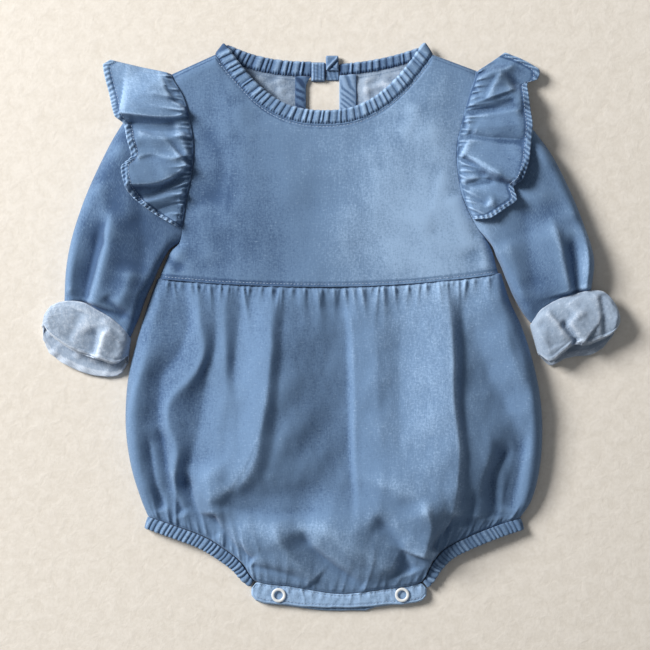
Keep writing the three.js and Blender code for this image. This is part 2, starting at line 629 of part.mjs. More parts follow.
const SKIRT_EDGE_US = [0, 0.004, 0.012, 0.022];
const legU = (x) => (x - SKIRT_HEM[0].x) / (SKIRT_HEM[SKIRT_HEM.length - 1].x - SKIRT_HEM[0].x);
const gatherUs = even(2 * WAIST_GATHERS + 1, 0.035, 0.965);
const skirtUs = [...SKIRT_EDGE_US, ...gatherUs, ...SKIRT_EDGE_US.map((u) => 1 - u).reverse()];
const skirtVs = [0, 0.035, 0.09, 0.17, 0.27, 0.38, 0.5, 0.62, 0.74, 0.85, 0.94, 1];

// Gathers stand at full height below the waist seam and above the leg seams, and die out between, some sooner
function skirtGather(u, v) {
  const i = gatherUs.indexOf(u);
  if (i < 0) return 0;
  const reach = 0.1 + 0.07 * Math.sin(i * 2.3);
  const waist = WAIST_GATHER_RAISE * (i % 2 ? 1 : -1) * Math.exp(-v / reach) * (0.75 + 0.25 * Math.sin(i * 1.7));
  const leg = u < 0.5 ? u / legU(CROTCH.left) : (1 - u) / (1 - legU(CROTCH.right));
  const wave = Math.cos(2 * Math.PI * LEG_GATHERS * leg);
  const nearLeg = leg < 1 ? LEG_GATHER_RAISE * wave * Math.exp((v - 1) / 0.13) : 0;
  return waist + nearLeg * quarterRound(Math.min(u, 1 - u) / 0.04);
}

function skirtFold(u, v, p) {
  const fade = quarterRound(Math.min(u, 1 - u) / 0.07) * quarterRound(v / 0.1) * quarterRound((1 - v) / 0.12);
  return skirtGather(u, v) + foldAt(FOLDS, p.x, p.y) * fade;
}

add(
  'skirt_front',
  panel({ us: skirtUs, vs: skirtVs, place: skirtPlace(true), sign: -1, square: skirtSquare, raise: skirtFold }),
  chambray(),
);
// The back's columns meet the hem's own rows, where the leg openings bend
const hemXs = SKIRT_HEM.slice(1, -2).flatMap((row, i) => even(5, row.x, SKIRT_HEM[i + 2].x).slice(0, -1));
const skirtBackUs = [
  ...SKIRT_EDGE_US,
  ...[...hemXs, SKIRT_HEM[SKIRT_HEM.length - 2].x].map(legU),
  ...SKIRT_EDGE_US.map((u) => 1 - u).reverse(),
];
add(
  'skirt_back',
  panel({
    us: skirtBackUs,
    vs: [0, 0.27, 0.55, 0.82, 1],
    place: skirtPlace(false),
    sign: 1,
    square: skirtSquare,
  }),
  wrongSide(),
);

// A flattened tube: stations along it, each a ring over the top and back underneath. Its wall goes in square to the
// ring, and its two ends may be rounded off a little
function flatTube({ stations, across, top, bottom, plan, wall, raise, endRound = 0 }) {
  const outer = [];
  const inner = [];
  for (const t of stations) {
    const over = across.map((w) => ({ w, upper: true }));
    const under = across.slice(1, -1).map((w) => ({ w, upper: false })).reverse();
    const ring = [...over, ...under].map(({ w, upper }) => {
      const [x, y] = plan(w, t, upper);
      return new THREE.Vector3(x, y, upper ? top(w, t) + raise(x, y, w, t) : bottom(w, t));
    });
    const size = ring.length;
    const shrink = endRound * (t === stations[0] || t === stations[stations.length - 1] ? 1 : 0);
    const chord = ring[across.length - 1].clone().sub(ring[0]).setZ(0).normalize();
    const normals = ring.map((p, k) => {
      const along = ring[(k + 1) % size].clone().sub(ring[(k - 1 + size) % size]);
      const run = Math.hypot(along.x, along.y) * Math.sign(along.dot(chord));
      return new THREE.Vector3(0, 0, run).addScaledVector(chord, -along.z).normalize();
    });
    outer.push(ring.map((p, k) => p.clone().addScaledVector(normals[k], -shrink).toArray()));
    inner.push(ring.map((p, k) => p.clone().addScaledVector(normals[k], -wall + shrink).toArray()));
  }
  return wallBetween(outer, inner, true);
}

function sleeve(table, cuffTable, side) {
  const field = (name) => (t) => column(table, 'along', t, name);
  const [outX, outY, inX, inY, high] = ['outX', 'outY', 'inX', 'inY', 'high'].map(field);
  const left = side === 'left';
  const away = left ? -SEAM_GAP : SEAM_GAP;
  const meets = CUFF_MEETS[side];
  const ruled = (w, t) => [mix(outX(t), inX(t), w), mix(outY(t), inY(t), w)];
  const armhole = (w) => bodicePlan(left ? 0 : 1, 1 - w * (1 - UNDERARM_UP), true);
  const cuffTop = (w) => {
    const across = mix(meets.outer, meets.inner, w);
    return [column(cuffTable, 'across', across, 'topX'), column(cuffTable, 'across', across, 'topY')];
  };
  const plan = (w, t) => {
    const [startX, startY] = ruled(w, 0);
    const [endX, endY] = ruled(w, 1);
    const [armX, armY] = armhole(w);
    const [cuffX, cuffY] = cuffTop(w);
    const [near, far] = [(1 - t) ** 2, t ** 4];
    const [x, y] = ruled(w, t);
    return [
      x + (armX - startX) * near + (cuffX - endX) * far + away * (1 - t),
      y + (armY - startY) * near + (cuffY + 2 * CURVED_SEAM_GAP - endY) * far,
    ];
  };
  const turnAt = (w, t) => {
    const width = Math.hypot(outX(t) - inX(t), outY(t) - inY(t));
    return quarterRound((Math.min(w, 1 - w) * width) / mix(ARMHOLE_ROUND, 7, t));
  };
  const top = (w, t) => SEAM_HEIGHT + (high(t) - SEAM_HEIGHT) * turnAt(w, t);
  const bottom = (w, t) => SEAM_HEIGHT * (1 - turnAt(w, t));
  const raise = (x, y, w, t) => foldAt(SLEEVE_FOLDS, x, y) * quarterRound(t / 0.2) * turnAt(w, t);
  const across = armholeVs.map((v) => (1 - v) / (1 - UNDERARM_UP)).reverse();
  const stations = [0, 0.09, 0.21, 0.35, 0.5, 0.64, 0.77, 0.9, 1];
  return {
    geometry: flatTube({ stations, across, top, bottom, plan, wall: CLOTH, raise }),
    surface: (w, t) => {
      const [x, y] = plan(w, t);
      return [x, y, top(w, t) + raise(x, y, w, t)];
    },
  };
}

const leftSleeve = sleeve(LEFT_SLEEVE, LEFT_CUFF, 'left');
const rightSleeve = sleeve(RIGHT_SLEEVE, RIGHT_CUFF, 'right');
add('sleeve_left', leftSleeve.geometry, chambray());
add('sleeve_right', rightSleeve.geometry, chambray());

function cuff(table) {
  const at = (name, w) => column(table, 'across', w, name);
  const plan = (w, t, upper) => {
    const layer = upper ? 'front' : 'back';
    return [mix(at('topX', w), at(layer + 'X', w), t), mix(at('topY', w), at(layer + 'Y', w), t)];
  };
  const ends = (w) => quarterRound(Math.min(w, 1 - w) / 0.13);
  const swell = (t) => 0.72 + 0.28 * Math.sin(Math.PI * mix(0.1, 0.85, t));
  const middle = CUFF_HIGH / 2 - 2;
  return flatTube({
    stations: [0, 0.05, 0.25, 0.5, 0.75, 0.95, 1],
    across: [0, 0.012, 0.045, 0.12, 0.24, 0.37, 0.5, 0.63, 0.76, 0.88, 0.955, 0.988, 1],
    plan,
    top: (w, t) => middle + (CUFF_HIGH * swell(t) - middle) * ends(w),
    bottom: (w) => middle * (1 - ends(w)),
    raise: (x, y, w) => foldAt(CUFF_FOLDS, x, y) * ends(w),
    wall: CUFF_WALL,
    endRound: CUFF_WALL * 0.28,
  });
}
add('cuff_left', cuff(LEFT_CUFF), wrongSide());
add('cuff_right', cuff(RIGHT_CUFF), wrongSide());

// The frill round the neck: a folded strip, pleated along its length
function frill({ from, to, front, height, lift }) {
  const pleats = Math.round(Math.abs(to - from) * 1.15 / FRILL_PLEAT);
  const rings = even(2 * pleats + 1, from, to).map((x, i) => {
    const y = necklineY(x, front);
    const step = 0.5;
    const tangent = new THREE.Vector2(2 * step, necklineY(x + step, front) - necklineY(x - step, front)).normalize();
    const inward = new THREE.Vector2(-tangent.y, tangent.x);
    const raise = FRILL_RAISE * (i % 2 ? 0.55 : -0.55);
    const reach = height + 0.35 * Math.sin(i * 1.9);
    const low = lift(x);
    const section = [
      [CURVED_SEAM_GAP, 0],
      [reach * 0.5, 0],
      [reach - 0.9, 0],
      [reach, FRILL_THICK * 0.5],
      [reach - 0.9, FRILL_THICK + raise],
      [reach * 0.5, FRILL_THICK + 0.3 + raise],
      [CURVED_SEAM_GAP, FRILL_THICK + raise * 0.5],
    ];
    return section.map(([q, z]) => [x + inward.x * q, y + inward.y * q, low + z]);
  });
  return sweep(rings);
}

const frontFrillLift = (x) => {
  const fromNeck = Math.min(x - NECK.left, NECK.right - x);
  return mix(4.7, 7.9, quarterRound(fromNeck / 30));
};
add(
  'neck_frill_front',
  frill({ from: NECK.left, to: NECK.right, front: true, height: FRILL_HEIGHT, lift: frontFrillLift }),
  chambray(),
);
const BACK_FRILLS = [
  { side: 'left', from: NECK.left + 4, to: CLOSURE.tab.left - SEAM_GAP },
  { side: 'right', from: CLOSURE.underlap.right + 1.2, to: NECK.right - 4 },
];
for (const { side, from, to } of BACK_FRILLS) {
  const height = BACK_FRILL_HEIGHT[side];
  add('neck_frill_back_' + side, frill({ from, to, front: false, height, lift: () => 0 }), binding());
}

// The tab that wraps the band's end, the other end that reaches under it, and the loop folded over both
function strap({ left, right, low, high, thick }, z) {
  const radius = CLOSURE.rounding;
  const shape = new THREE.Shape();
  shape.moveTo(left + radius, low);
  shape.absarc(right - radius, low + radius, radius, -Math.PI / 2, 0);
  shape.absarc(right - radius, high - radius, radius, 0, Math.PI / 2);
  shape.absarc(left + radius, high - radius, radius, Math.PI / 2, Math.PI);
  shape.absarc(left + radius, low + radius, radius, Math.PI, 1.5 * Math.PI);
  return new THREE.ExtrudeGeometry(shape, { depth: thick, bevelEnabled: false, curveSegments: 3 }).translate(0, 0, z);
}
add('closure_tab', strap(CLOSURE.tab, 0), binding());
add('closure_underlap', strap(CLOSURE.underlap, 0), binding());
add('closure_loop', strap(CLOSURE.loop, CLOSURE.underlap.thick + SEAM_GAP), binding());

// The leg casings: gathered over elastic, across the front, round at the side and back underneath
function legSeam(left) {
  const rows = SKIRT_HEM.filter((row) => (left ? row.x <= CROTCH.left : row.x >= CROTCH.right));
  const ordered = left ? [...rows].reverse() : rows;
  const points = ordered.map((row) => new THREE.Vector3(row.x, row.y, 0));
  const fine = points.flatMap((p, i) => {
    if (i === points.length - 1) return [p];
    return even(7, p.x, points[i + 1].x)
      .slice(0, -1)
      .map((x) => new THREE.Vector3(x, column(SKIRT_HEM, 'x', x, 'y'), 0));
  });
  return new THREE.CatmullRomCurve3(fine);
}

function legCasing(left) {
  const seam = legSeam(left);
  const out = left ? 1 : -1;
  const stations = [];
  const half = CASING_THICK / 2;
  const frontZ = (s) => column(CASING_LIFT, 'along', s, 'z');
  const width = (s) => CASING_WIDTH - CASING_NARROWED * Math.exp(-s / 0.12);
  const pin = (s) => {
    const at = seam.getPointAt(s * (1 - CASING_TUCK));
    const tangent = seam.getTangentAt(s * (1 - CASING_TUCK));
    const across = new THREE.Vector3(-tangent.y, tangent.x, 0).multiplyScalar(out);
    return { at, tangent, across };
  };
  even(2 * CASING_RUCHES + 1, 0, 1).forEach((s, i) => {
    const { at, across } = pin(s);
    at.z = frontZ(s);
    const raise = CASING_RAISE * (i % 2 ? 0.5 : -0.5);
    stations.push({ at, across, up: new THREE.Vector3(0, 0, 1), raise, wide: width(s) });
  });
  const last = pin(1);
  const radius = (frontZ(1) - half) / 2;
  for (const angle of [0.2, 0.4, 0.6, 0.8]) {
    const turn = angle * Math.PI;
    const up = last.tangent.clone().multiplyScalar(Math.sin(turn));
    up.z = Math.cos(turn);
    const at = last.at.clone().addScaledVector(last.tangent, radius * Math.sin(turn));
    at.z = half + radius + radius * Math.cos(turn);
    stations.push({ at, across: last.across, up, raise: 0, wide: CASING_WIDTH });
  }
  for (const s of even(15, 1, 0)) {
    const { at, across } = pin(s);
    at.z = half;
    stations.push({ at, across, up: new THREE.Vector3(0, 0, -1), raise: 0, wide: width(s) });
  }
  const near = CURVED_SEAM_GAP;
  const section = (raise, far) => [
    [near, -half],
    [far - 0.8, -half],
    [far, 0],
    [far - 0.8, half + raise],
    [(near + far) / 2, half + raise * 1.3],
    [near, half + raise],
  ];
  const ring = ({ at, across, up, raise, wide }) =>
    section(raise, near + wide).map(([q, z]) => at.clone().addScaledVector(across, q).addScaledVector(up, z));
  return sweep(stations.map((station) => ring(station).map((p) => p.toArray())));
}
const CASING_LIFT = [
  { along: 0, z: 3.9 },
  { along: 0.2, z: 4.9 },
  { along: 0.5, z: 6.2 },
  { along: 0.8, z: 6.2 },
  { along: 1, z: 5.2 },
];
add('leg_casing_left', legCasing(true), chambray());
add('leg_casing_right', legCasing(false), chambray());

// The crotch bands, one over the other
function crotchBand(front) {
  const name = front ? 'front' : 'back';
  const low = front ? BAND_THICK + SEAM_GAP : 0;
  const rings = even(22, CROTCH_BANDS[0].x, CROTCH_BANDS[CROTCH_BANDS.length - 1].x).map((x) => {
    const seam = Math.min(straight(CROTCH_BANDS, 'x', x, 'top'), column(SKIRT_HEM, 'x', x, 'y') - SEAM_GAP);
    const hem = straight(CROTCH_BANDS, 'x', x, name);
    return [
      [x, seam, low],
      [x, hem + 0.8, low],
      [x, hem, low + BAND_THICK / 2],
      [x, hem + 0.8, low + BAND_THICK],
      [x, seam, low + BAND_THICK],
    ];
  });
  return sweep(rings);
}
add('crotch_band_back', crotchBand(false), chambray());
add('crotch_band_front', crotchBand(true), chambray());

// The snaps' prong rings, pressed on to the front band
const snapProfile = [
  [SNAP.hole, 0],
  [SNAP.ring, 0],
  [SNAP.ring, SNAP.thick * 0.45],
  [(SNAP.ring + SNAP.hole) / 2, SNAP.thick],
  [SNAP.hole, SNAP.thick * 0.5],
  [SNAP.hole, 0],
].map(([r, z]) => new THREE.Vector2(r, z));
for (const { side, x, y } of SNAPS) {
  const ring = new THREE.LatheGeometry(snapProfile, SNAP.sides)
    .rotateX(Math.PI / 2)
    .translate(x, y, 2 * BAND_THICK + 2 * SEAM_GAP);
  ring.deleteAttribute('normal');
  ring.deleteAttribute('uv');
  const merged = mergeVertices(ring, 1e-4);
  const points = Array.from({ length: merged.attributes.position.count }, (_, i) => [
    merged.attributes.position.getX(i),
    merged.attributes.position.getY(i),
    merged.attributes.position.getZ(i),
  ]);
  add('snap_' + side, facingOut(points, Array.from(merged.index.array)), enamel());
}

// The shoulder ruffles lie on the sleeves: sewn in at the armhole, then a tent over the sleeve's own points, then the
// waves
function ruffle(table, side, surface) {
  const { top, drop } = RUFFLE[side];
  const left = side === 'left';
  const away = left ? -RUFFLE.fromSeam : RUFFLE.fromSeam;
  const grid = even(25).flatMap((w) => even(17, 0, 0.75).map((t) => surface(w, t)));
  const support = (x, y) =>
    grid.reduce((high, [px, py, pz]) => {
      const far = Math.max(Math.hypot(x - px, y - py) - RUFFLE.reach, 0);
      return Math.max(high, pz - RUFFLE.slope * far);
    }, 0);
  const [shoulderY, armpitY] = [left ? SHOULDER.leftY : SHOULDER.rightY, underarmY[side]];
  const seat = (y) => surface((shoulderY - y) / (shoulderY - armpitY), 0)[2] + RUFFLE.seat;
  const rows = table.slice(0, -1).flatMap((row, i) => even(3, row.along, table[i + 1].along).slice(0, -1));
  rows.push(1);
  const outer = [];
  const inner = [];
  for (const w of [0, 0.1, 0.32, 0.55, 0.78, 1]) {
    const line = rows.map((s) => {
      const seamY = top - drop * s;
      const seamX = column(BODICE_SIDES, 'y', seamY, side) + away;
      const x = mix(seamX, straight(table, 'along', s, 'outX'), w);
      const y = mix(seamY, straight(table, 'along', s, 'outY'), w);
      const lift = straight(table, 'along', s, 'lift');
      const rise = lift < 0 ? lift * w : lift * (0.18 + 0.82 * w);
      return [x, y, w === 0 ? seat(seamY) : Math.max(support(x, y) + RUFFLE.clear + rise, 0.4)];
    });
    inner.push(line);
    outer.push(line.map(([x, y, z]) => [x, y, z + CLOTH]));
  }
  return wallBetween(outer, inner);
}
add('ruffle_left', ruffle(LEFT_RUFFLE, 'left', leftSleeve.surface), chambray());
add('ruffle_right', ruffle(RIGHT_RUFFLE, 'right', rightSleeve.surface), chambray());

// The whole romper, its origin on the table under the middle of its outline
const romper = new THREE.Group();
romper.name = 'romper';
romper.add(...pieces);
const box = new THREE.Box3().setFromObject(romper, true);
romper.position.set(-(box.min.x + box.max.x) / 2, -(box.min.y + box.max.y) / 2, -box.min.z);

export default romper;
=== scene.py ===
"""A baby's bubble romper in washed light blue chambray, laid flat on its back.

Long sleeves with rolled cuffs, a pleated frill round the neck with a keyhole at the back, ruffles over the shoulders,
a gathered skirt on a waist seam, elastic leg openings and a snap crotch. Sizes are millimetres in the garment's own
plan, +X to the viewer's right, +Y from the crotch to the neck and +Z up from the table. They become metres where a
mesh is made.
"""

import logging
import math
from collections.abc import Callable, Sequence
from dataclasses import dataclass, field
from enum import Enum
from typing import Any

import bpy
import numpy as np
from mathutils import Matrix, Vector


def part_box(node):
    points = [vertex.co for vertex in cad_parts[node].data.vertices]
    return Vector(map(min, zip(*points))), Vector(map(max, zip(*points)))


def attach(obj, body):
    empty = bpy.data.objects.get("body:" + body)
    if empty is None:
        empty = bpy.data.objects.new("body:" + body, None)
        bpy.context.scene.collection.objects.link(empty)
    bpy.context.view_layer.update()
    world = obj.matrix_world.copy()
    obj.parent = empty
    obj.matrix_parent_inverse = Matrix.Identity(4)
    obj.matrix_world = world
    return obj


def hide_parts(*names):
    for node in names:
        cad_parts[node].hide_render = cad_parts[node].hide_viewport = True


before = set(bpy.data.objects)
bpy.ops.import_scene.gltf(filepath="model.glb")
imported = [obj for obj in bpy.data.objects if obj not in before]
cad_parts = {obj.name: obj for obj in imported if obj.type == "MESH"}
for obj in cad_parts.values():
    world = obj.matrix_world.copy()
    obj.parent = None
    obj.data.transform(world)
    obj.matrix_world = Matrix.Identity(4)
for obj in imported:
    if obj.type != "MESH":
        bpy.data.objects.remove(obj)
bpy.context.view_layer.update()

Array = np.ndarray
Point = tuple[float, float]
log = logging.getLogger("romper")

MM = 0.001
BODY = "root"
CLOTH = 0.8  # one layer of cloth as it shows at an edge
SOLID_CLOTH = 1.3  # one layer of cloth in the solid model
SEAM_GAP = 0.3
CURVED_SEAM_GAP = 0.5
SEAM_HEIGHT = 4.3  # the side and shoulder seams above the table
EDGE_ROUND = 9.0  # how far in from a side seam the cloth turns
ARMHOLE_ROUND = 12.0


class Slot(Enum):
    """The record's material slots."""

    CHAMBRAY = "chambray"
    WRONG_SIDE = "chambray_wrong_side"
    BINDING = "chambray_binding"
    ENAMEL = "snap_enamel"


class Side(Enum):
    """The two sides of the garment, as the viewer sees them."""

    LEFT = "left"
    RIGHT = "right"

    @property
    def out(self) -> float:
        """The sign of X away from the middle on this side."""
        return -1.0 if self is Side.LEFT else 1.0


# ---------------------------------------------------------------- numbers and tables


def mix(a: Any, b: Any, t: Any) -> Any:
    """A value between a and b, at the share t of the way."""
    return a + (b - a) * t


def smooth(t: Any) -> Any:
    """A soft step from 0 to 1 as t goes from 0 to 1."""
    t = np.clip(t, 0.0, 1.0)
    return t * t * (3.0 - 2.0 * t)


def quarter_round(share: Any) -> Any:
    """A quarter circle's height as share goes from 0 to 1."""
    return np.sqrt(1.0 - (1.0 - np.clip(share, 0.0, 1.0)) ** 2)


def unit(vectors: Array) -> Array:
    """Vectors of length 1 along the last axis."""
    return vectors / np.maximum(np.linalg.norm(vectors, axis=-1, keepdims=True), 1e-9)


def ridge(distance: Any, wide: float) -> Any:
    """A soft ridge, 1 high where the distance is 0 and faded out at twice its width."""
    return np.exp(-((distance / wide) ** 2))


def run_along(points: Array) -> Array:
    """How far along a line of points each of them lies."""
    return np.concatenate([[0], np.cumsum(np.linalg.norm(np.diff(points, axis=0), axis=1))])


def settled(height: Any, lowest: float, soft: float) -> Any:
    """Heights that come to rest softly on a lowest one.

    Args:
        height: The heights.
        lowest: What none of them goes under.
        soft: Over what height they come to rest.

    Returns:
        The heights, held up.
    """
    over = (height - lowest) / soft
    return lowest + soft * np.where(over > 1, over, np.exp(np.minimum(over, 1.0) - 1))


def crowded(count: int, share: float = 0.85) -> Array:
    """Places from 0 to 1 that lie closer together towards both ends.

    Args:
        count: How many places.
        share: How far the crowding goes, from 0 for even to 1.

    Returns:
        The places, rising.
    """
    even = np.linspace(0.0, 1.0, count)
    return mix(even, 0.5 - 0.5 * np.cos(math.pi * even), share)


def soften(grid: Array, times: int) -> Array:
    """A grid of numbers with each averaged with its neighbours, a few times over.

    Args:
        grid: The numbers.
        times: How often each is averaged.

    Returns:
        The softer grid.
    """
    for _ in range(times):
        wide = np.pad(grid, 1, mode="edge")
        grid = (wide[:-2, 1:-1] + wide[2:, 1:-1] + wide[1:-1, :-2] + wide[1:-1, 2:] + 2.0 * grid) / 6.0
    return grid


@dataclass(frozen=True)
class Table:
    """A short table with named columns, read along one of them."""

    names: str
    rows: tuple[tuple[float, ...], ...]

    def column(self, name: str) -> Array:
        """One column as an array."""
        place = self.names.split().index(name)
        return np.array([row[place] for row in self.rows], float)

    def smooth(self, by: str, at: Any, name: str) -> Array:
        """A column's value on a smooth curve through the rows.

        Args:
            by: The rising column that at is measured along.
            at: Where to read, a number or an array.
            name: The column to read.

        Returns:
            The values, in the shape of at.
        """
        x, y = self.column(by), self.column(name)
        at = np.asarray(at, float)
        i = np.clip(np.searchsorted(x, at) - 1, 0, len(x) - 2)
        every = np.arange(len(x))
        before, after = np.maximum(every - 1, 0), np.minimum(every + 1, len(x) - 1)
        slope = (y[after] - y[before]) / (x[after] - x[before])
        span = x[i + 1] - x[i]
        t = np.clip((at - x[i]) / span, 0.0, 1.0)
        t2, t3 = t * t, t * t * t
        start = (2 * t3 - 3 * t2 + 1) * y[i] + (t3 - 2 * t2 + t) * span * slope[i]
        return start + (3 * t2 - 2 * t3) * y[i + 1] + (t3 - t2) * span * slope[i + 1]

    def straight(self, by: str, at: Any, name: str) -> Array:
        """A column's value on straight lines between the rows."""
        return np.interp(at, self.column(by), self.column(name))


def rounded(path: Sequence[Point], steps: int = 6) -> Array:
    """A smooth line through the points of a path.

    Args:
        path: The points, in plan.
        steps: How many pieces each stretch is cut into.

    Returns:
        The line's points.
    """
    points = np.array(path, float)
    if len(points) < 3:
        return np.linspace(points[0], points[-1], 2 * steps)
    grown = np.vstack([2 * points[0] - points[1], points, 2 * points[-1] - points[-2]])
    line = []
    for a, b, c, d in zip(grown[:-3], grown[1:-2], grown[2:-1], grown[3:]):
        for t in np.arange(steps) / steps:
            bend = 2 * a - 5 * b + 4 * c - d
            line.append(0.5 * (2 * b + (c - a) * t + bend * t**2 + (3 * b - a - 3 * c + d) * t**3))
    return np.array([*line, points[-1]])


@dataclass(frozen=True)
class Fold:
    """A soft ridge in the cloth, or with a negative rise a trough, along a path in plan.

    left is how far it spreads on the page's left of a path drawn down the page, which is below a path drawn to the
    right, and right how far on the other side. crisp near 1 gives it straight flanks and above 2 a flat top. start
    and end are the shares of its length over which it comes and goes, and crest rounds its top.
    """

    path: tuple[Point, ...]
    rise: float
    left: float
    right: float
    crisp: float = 1.3
    start: float = 0.2
    end: float = 0.2
    crest: float = 1.0

    def heights(self, x: Array, y: Array) -> Array:
        """How high the fold stands at places in plan.

        Args:
            x: The places' X.
            y: The places' Y.

        Returns:
            The heights, in the shape of x.
        """
        line = rounded(self.path)
        margin = 2.6 * max(self.left, self.right)
        low, high = line.min(0) - margin, line.max(0) + margin
        near = (x > low[0]) & (x < high[0]) & (y > low[1]) & (y < high[1])
        out = np.zeros(x.shape)
        px, py = x[near], y[near]
        best = np.full(px.shape, np.inf)
        side, along = np.zeros(px.shape), np.zeros(px.shape)
        steps = np.linalg.norm(np.diff(line, axis=0), axis=1)
        run = np.concatenate([[0.0], np.cumsum(steps)]) / steps.sum()
        for k, (a, b) in enumerate(zip(line[:-1], line[1:])):
            ex, ey = b - a
            share = np.clip(((px - a[0]) * ex + (py - a[1]) * ey) / max(ex * ex + ey * ey, 1e-9), 0.0, 1.0)
            dx, dy = px - a[0] - share * ex, py - a[1] - share * ey
            far = np.hypot(dx, dy)
            closer = far < best
            best[closer] = far[closer]
            side[closer] = (ex * dy - ey * dx)[closer]
            along[closer] = (run[k] + share * (run[k + 1] - run[k]))[closer]
        wide = np.where(side < 0, self.left, self.right)
        fade = smooth(along / max(self.start, 1e-6)) * smooth((1.0 - along) / max(self.end, 1e-6))
        rounded_off = np.hypot(best, self.crest) - self.crest
        out[near] = self.rise * np.exp(-((rounded_off / wide) ** self.crisp)) * fade
        return out


def fold_heights(folds: Sequence[Fold], x: Array, y: Array) -> Array:
    """How high several folds together stand at places in plan."""
    return sum((fold.heights(x, y) for fold in folds), np.zeros(x.shape))


@dataclass(frozen=True)
class Gathers:
    """Uneven gathers that leave a seam: crisp little ridges of differing length, height and slant."""

    seed: int
    length: float
    pitch: float
    rise: float
    wide: float
    short: float
    long: float
    spread: float = 0.03
    slant: float = 0.12
    centred: float = 0.42

    def heights(self, along: Array, away: Array) -> Array:
        """How high the gathers stand.

        Args:
            along: Places along the seam, in millimetres from its start.
            away: How far they are from the seam.

        Returns:
            The heights.
        """
        rng = np.random.default_rng(self.seed)
        count = round(self.length / self.pitch)
        at = (np.arange(count) + 0.5 + rng.uniform(-0.36, 0.36, count)) * self.length / count
        rise = self.rise * rng.uniform(0.45, 1.25, count)
        wide = self.wide * rng.uniform(0.7, 1.35, count)
        reach = self.short + (self.long - self.short) * rng.uniform(0.0, 1.0, count) ** 2.2
        slant = rng.uniform(-self.slant, self.slant, count)
        total = np.zeros(along.shape)
        for k in range(count):
            near = np.abs(along - at[k]) < 6.0 * wide[k] + self.slant * 3.0 * self.long
            side = along[near] - at[k] - slant[k] * away[near]
            breadth = wide[k] * (1.0 + self.spread * away[near]) * np.where(side < 0, 1.25, 0.7)
            fade = np.exp(-((away[near] / reach[k]) ** 1.6))
            around = self.centred * ridge(side, 3.0 * breadth)
            total[near] += rise[k] * (np.exp(-(np.abs(side / breadth) ** 1.5)) - around) * fade
        return total


@dataclass(frozen=True)
class Crumple:
    """A gentle, even crumpling of cloth, from a few seeded waves."""

    seed: int
    size: float
    rise: float
    waves: int = 14

    def heights(self, x: Array, y: Array) -> Array:
        """How high the crumpling stands at places in plan."""
        rng = np.random.default_rng(self.seed)
        total = np.zeros(x.shape)
        for _ in range(self.waves):
            angle, phase = rng.uniform(0.0, math.pi), rng.uniform(0.0, 2 * math.pi)
            turn = 2 * math.pi / (self.size * rng.uniform(0.7, 1.7))
            bend = rng.uniform(-0.35, 0.35) * np.sin((x - y) / (2.3 * self.size) + phase)
            total += np.sin(turn * (x * math.cos(angle) + y * math.sin(angle)) + phase + bend)
        return self.rise * total / math.sqrt(self.waves)


# ---------------------------------------------------------------- the garment's lines

WAIST_LOWEST, WAIST_AT, WAIST_RISE_LEFT, WAIST_RISE_RIGHT = 29.5, -8.0, 0.00042, 0.00056
NECK_LEFT, NECK_RIGHT, NECK_TOP, NECK_POWER = -85.0, 74.0, 201.0, 2.4
NECK_FRONT_DEPTH, NECK_BACK_LEFT, NECK_BACK_RIGHT = 52.0, 18.0, 13.0
SHOULDER_LEFT: Point = (-118.0, 186.0)
SHOULDER_RIGHT: Point = (106.0, 189.0)
UNDERARM_UP = 0.17

BODICE_SIDES = Table(
    "y left right",
    (
        (28, -130, 126),
        (46, -123, 121),
        (55, -119, 118.5),
        (63, -111.5, 115),
        (73, -109.5, 107),
        (95, -106, 96.5),
        (115, -102, 92.5),
        (133, -101, 92),
        (148, -103, 95),
        (168, -108, 100.5),
        (187, -118, 106),
        (210, -118, 106),
    ),
)
BODICE_HEIGHTS = Table("up edge middle", ((0, 9, 13), (0.35, 9, 12.5), (0.7, 9, 11.5), (1, 8.5, 9.5)))
SKIRT_SIDES = Table(
    "down left right",
    (
        (0, -128, 124.5),
        (0.11, -135, 131),
        (0.22, -141, 140),
        (0.37, -148, 148.5),
        (0.51, -151, 153.5),
        (0.65, -151, 155),
        (0.8, -147, 153),
        (0.93, -140, 147),
        (1, -135, 139),
    ),
)
SKIRT_HEM = Table(
    "x y",
    (
        (-135, -139),
        (-115, -146),
        (-94, -154),
        (-80, -162.5),
        (-67, -173),
        (-57, -186),
        (-30, -190.5),
        (6, -196),
        (35, -193),
        (67, -187),
        (74, -174),
        (84, -163),
        (101, -154),
        (122, -145.5),
        (139, -140),
    ),
)
CROTCH_LEFT, CROTCH_RIGHT = -57.0, 67.0
SKIRT_HEIGHTS = Table(
    "down edge middle",
    ((0, 9, 13), (0.15, 11.5, 17), (0.4, 14, 22), (0.65, 14, 23.5), (0.85, 12, 18), (1, 7.5, 5.8)),
)


def waist_y(x: Any) -> Any:
    """The waist seam's Y at X: it dips a little left of the centre front."""
    off = np.asarray(x, float) - WAIST_AT
    return WAIST_LOWEST + np.where(off < 0, WAIST_RISE_LEFT, WAIST_RISE_RIGHT) * off * off


def neckline_y(x: Any, front: bool) -> Any:
    """The neckline's Y at X, on the front or the back."""
    off = (np.asarray(x, float) - (NECK_LEFT + NECK_RIGHT) / 2) / ((NECK_RIGHT - NECK_LEFT) / 2)
    depth = NECK_FRONT_DEPTH if front else mix(NECK_BACK_LEFT, NECK_BACK_RIGHT, (off + 1) / 2)
    return NECK_TOP - depth * (1 - np.minimum(np.abs(off), 1.0) ** NECK_POWER)


def bodice_top_y(x: Array, front: bool) -> Array:
    """The bodice's top edge: shoulder, neckline, shoulder."""
    left = mix(SHOULDER_LEFT[1], NECK_TOP, (x - SHOULDER_LEFT[0]) / (NECK_LEFT - SHOULDER_LEFT[0]))
    right = mix(NECK_TOP, SHOULDER_RIGHT[1], (x - NECK_RIGHT) / (SHOULDER_RIGHT[0] - NECK_RIGHT))
    return np.where(x < NECK_LEFT, left, np.where(x > NECK_RIGHT, right, neckline_y(x, front)))


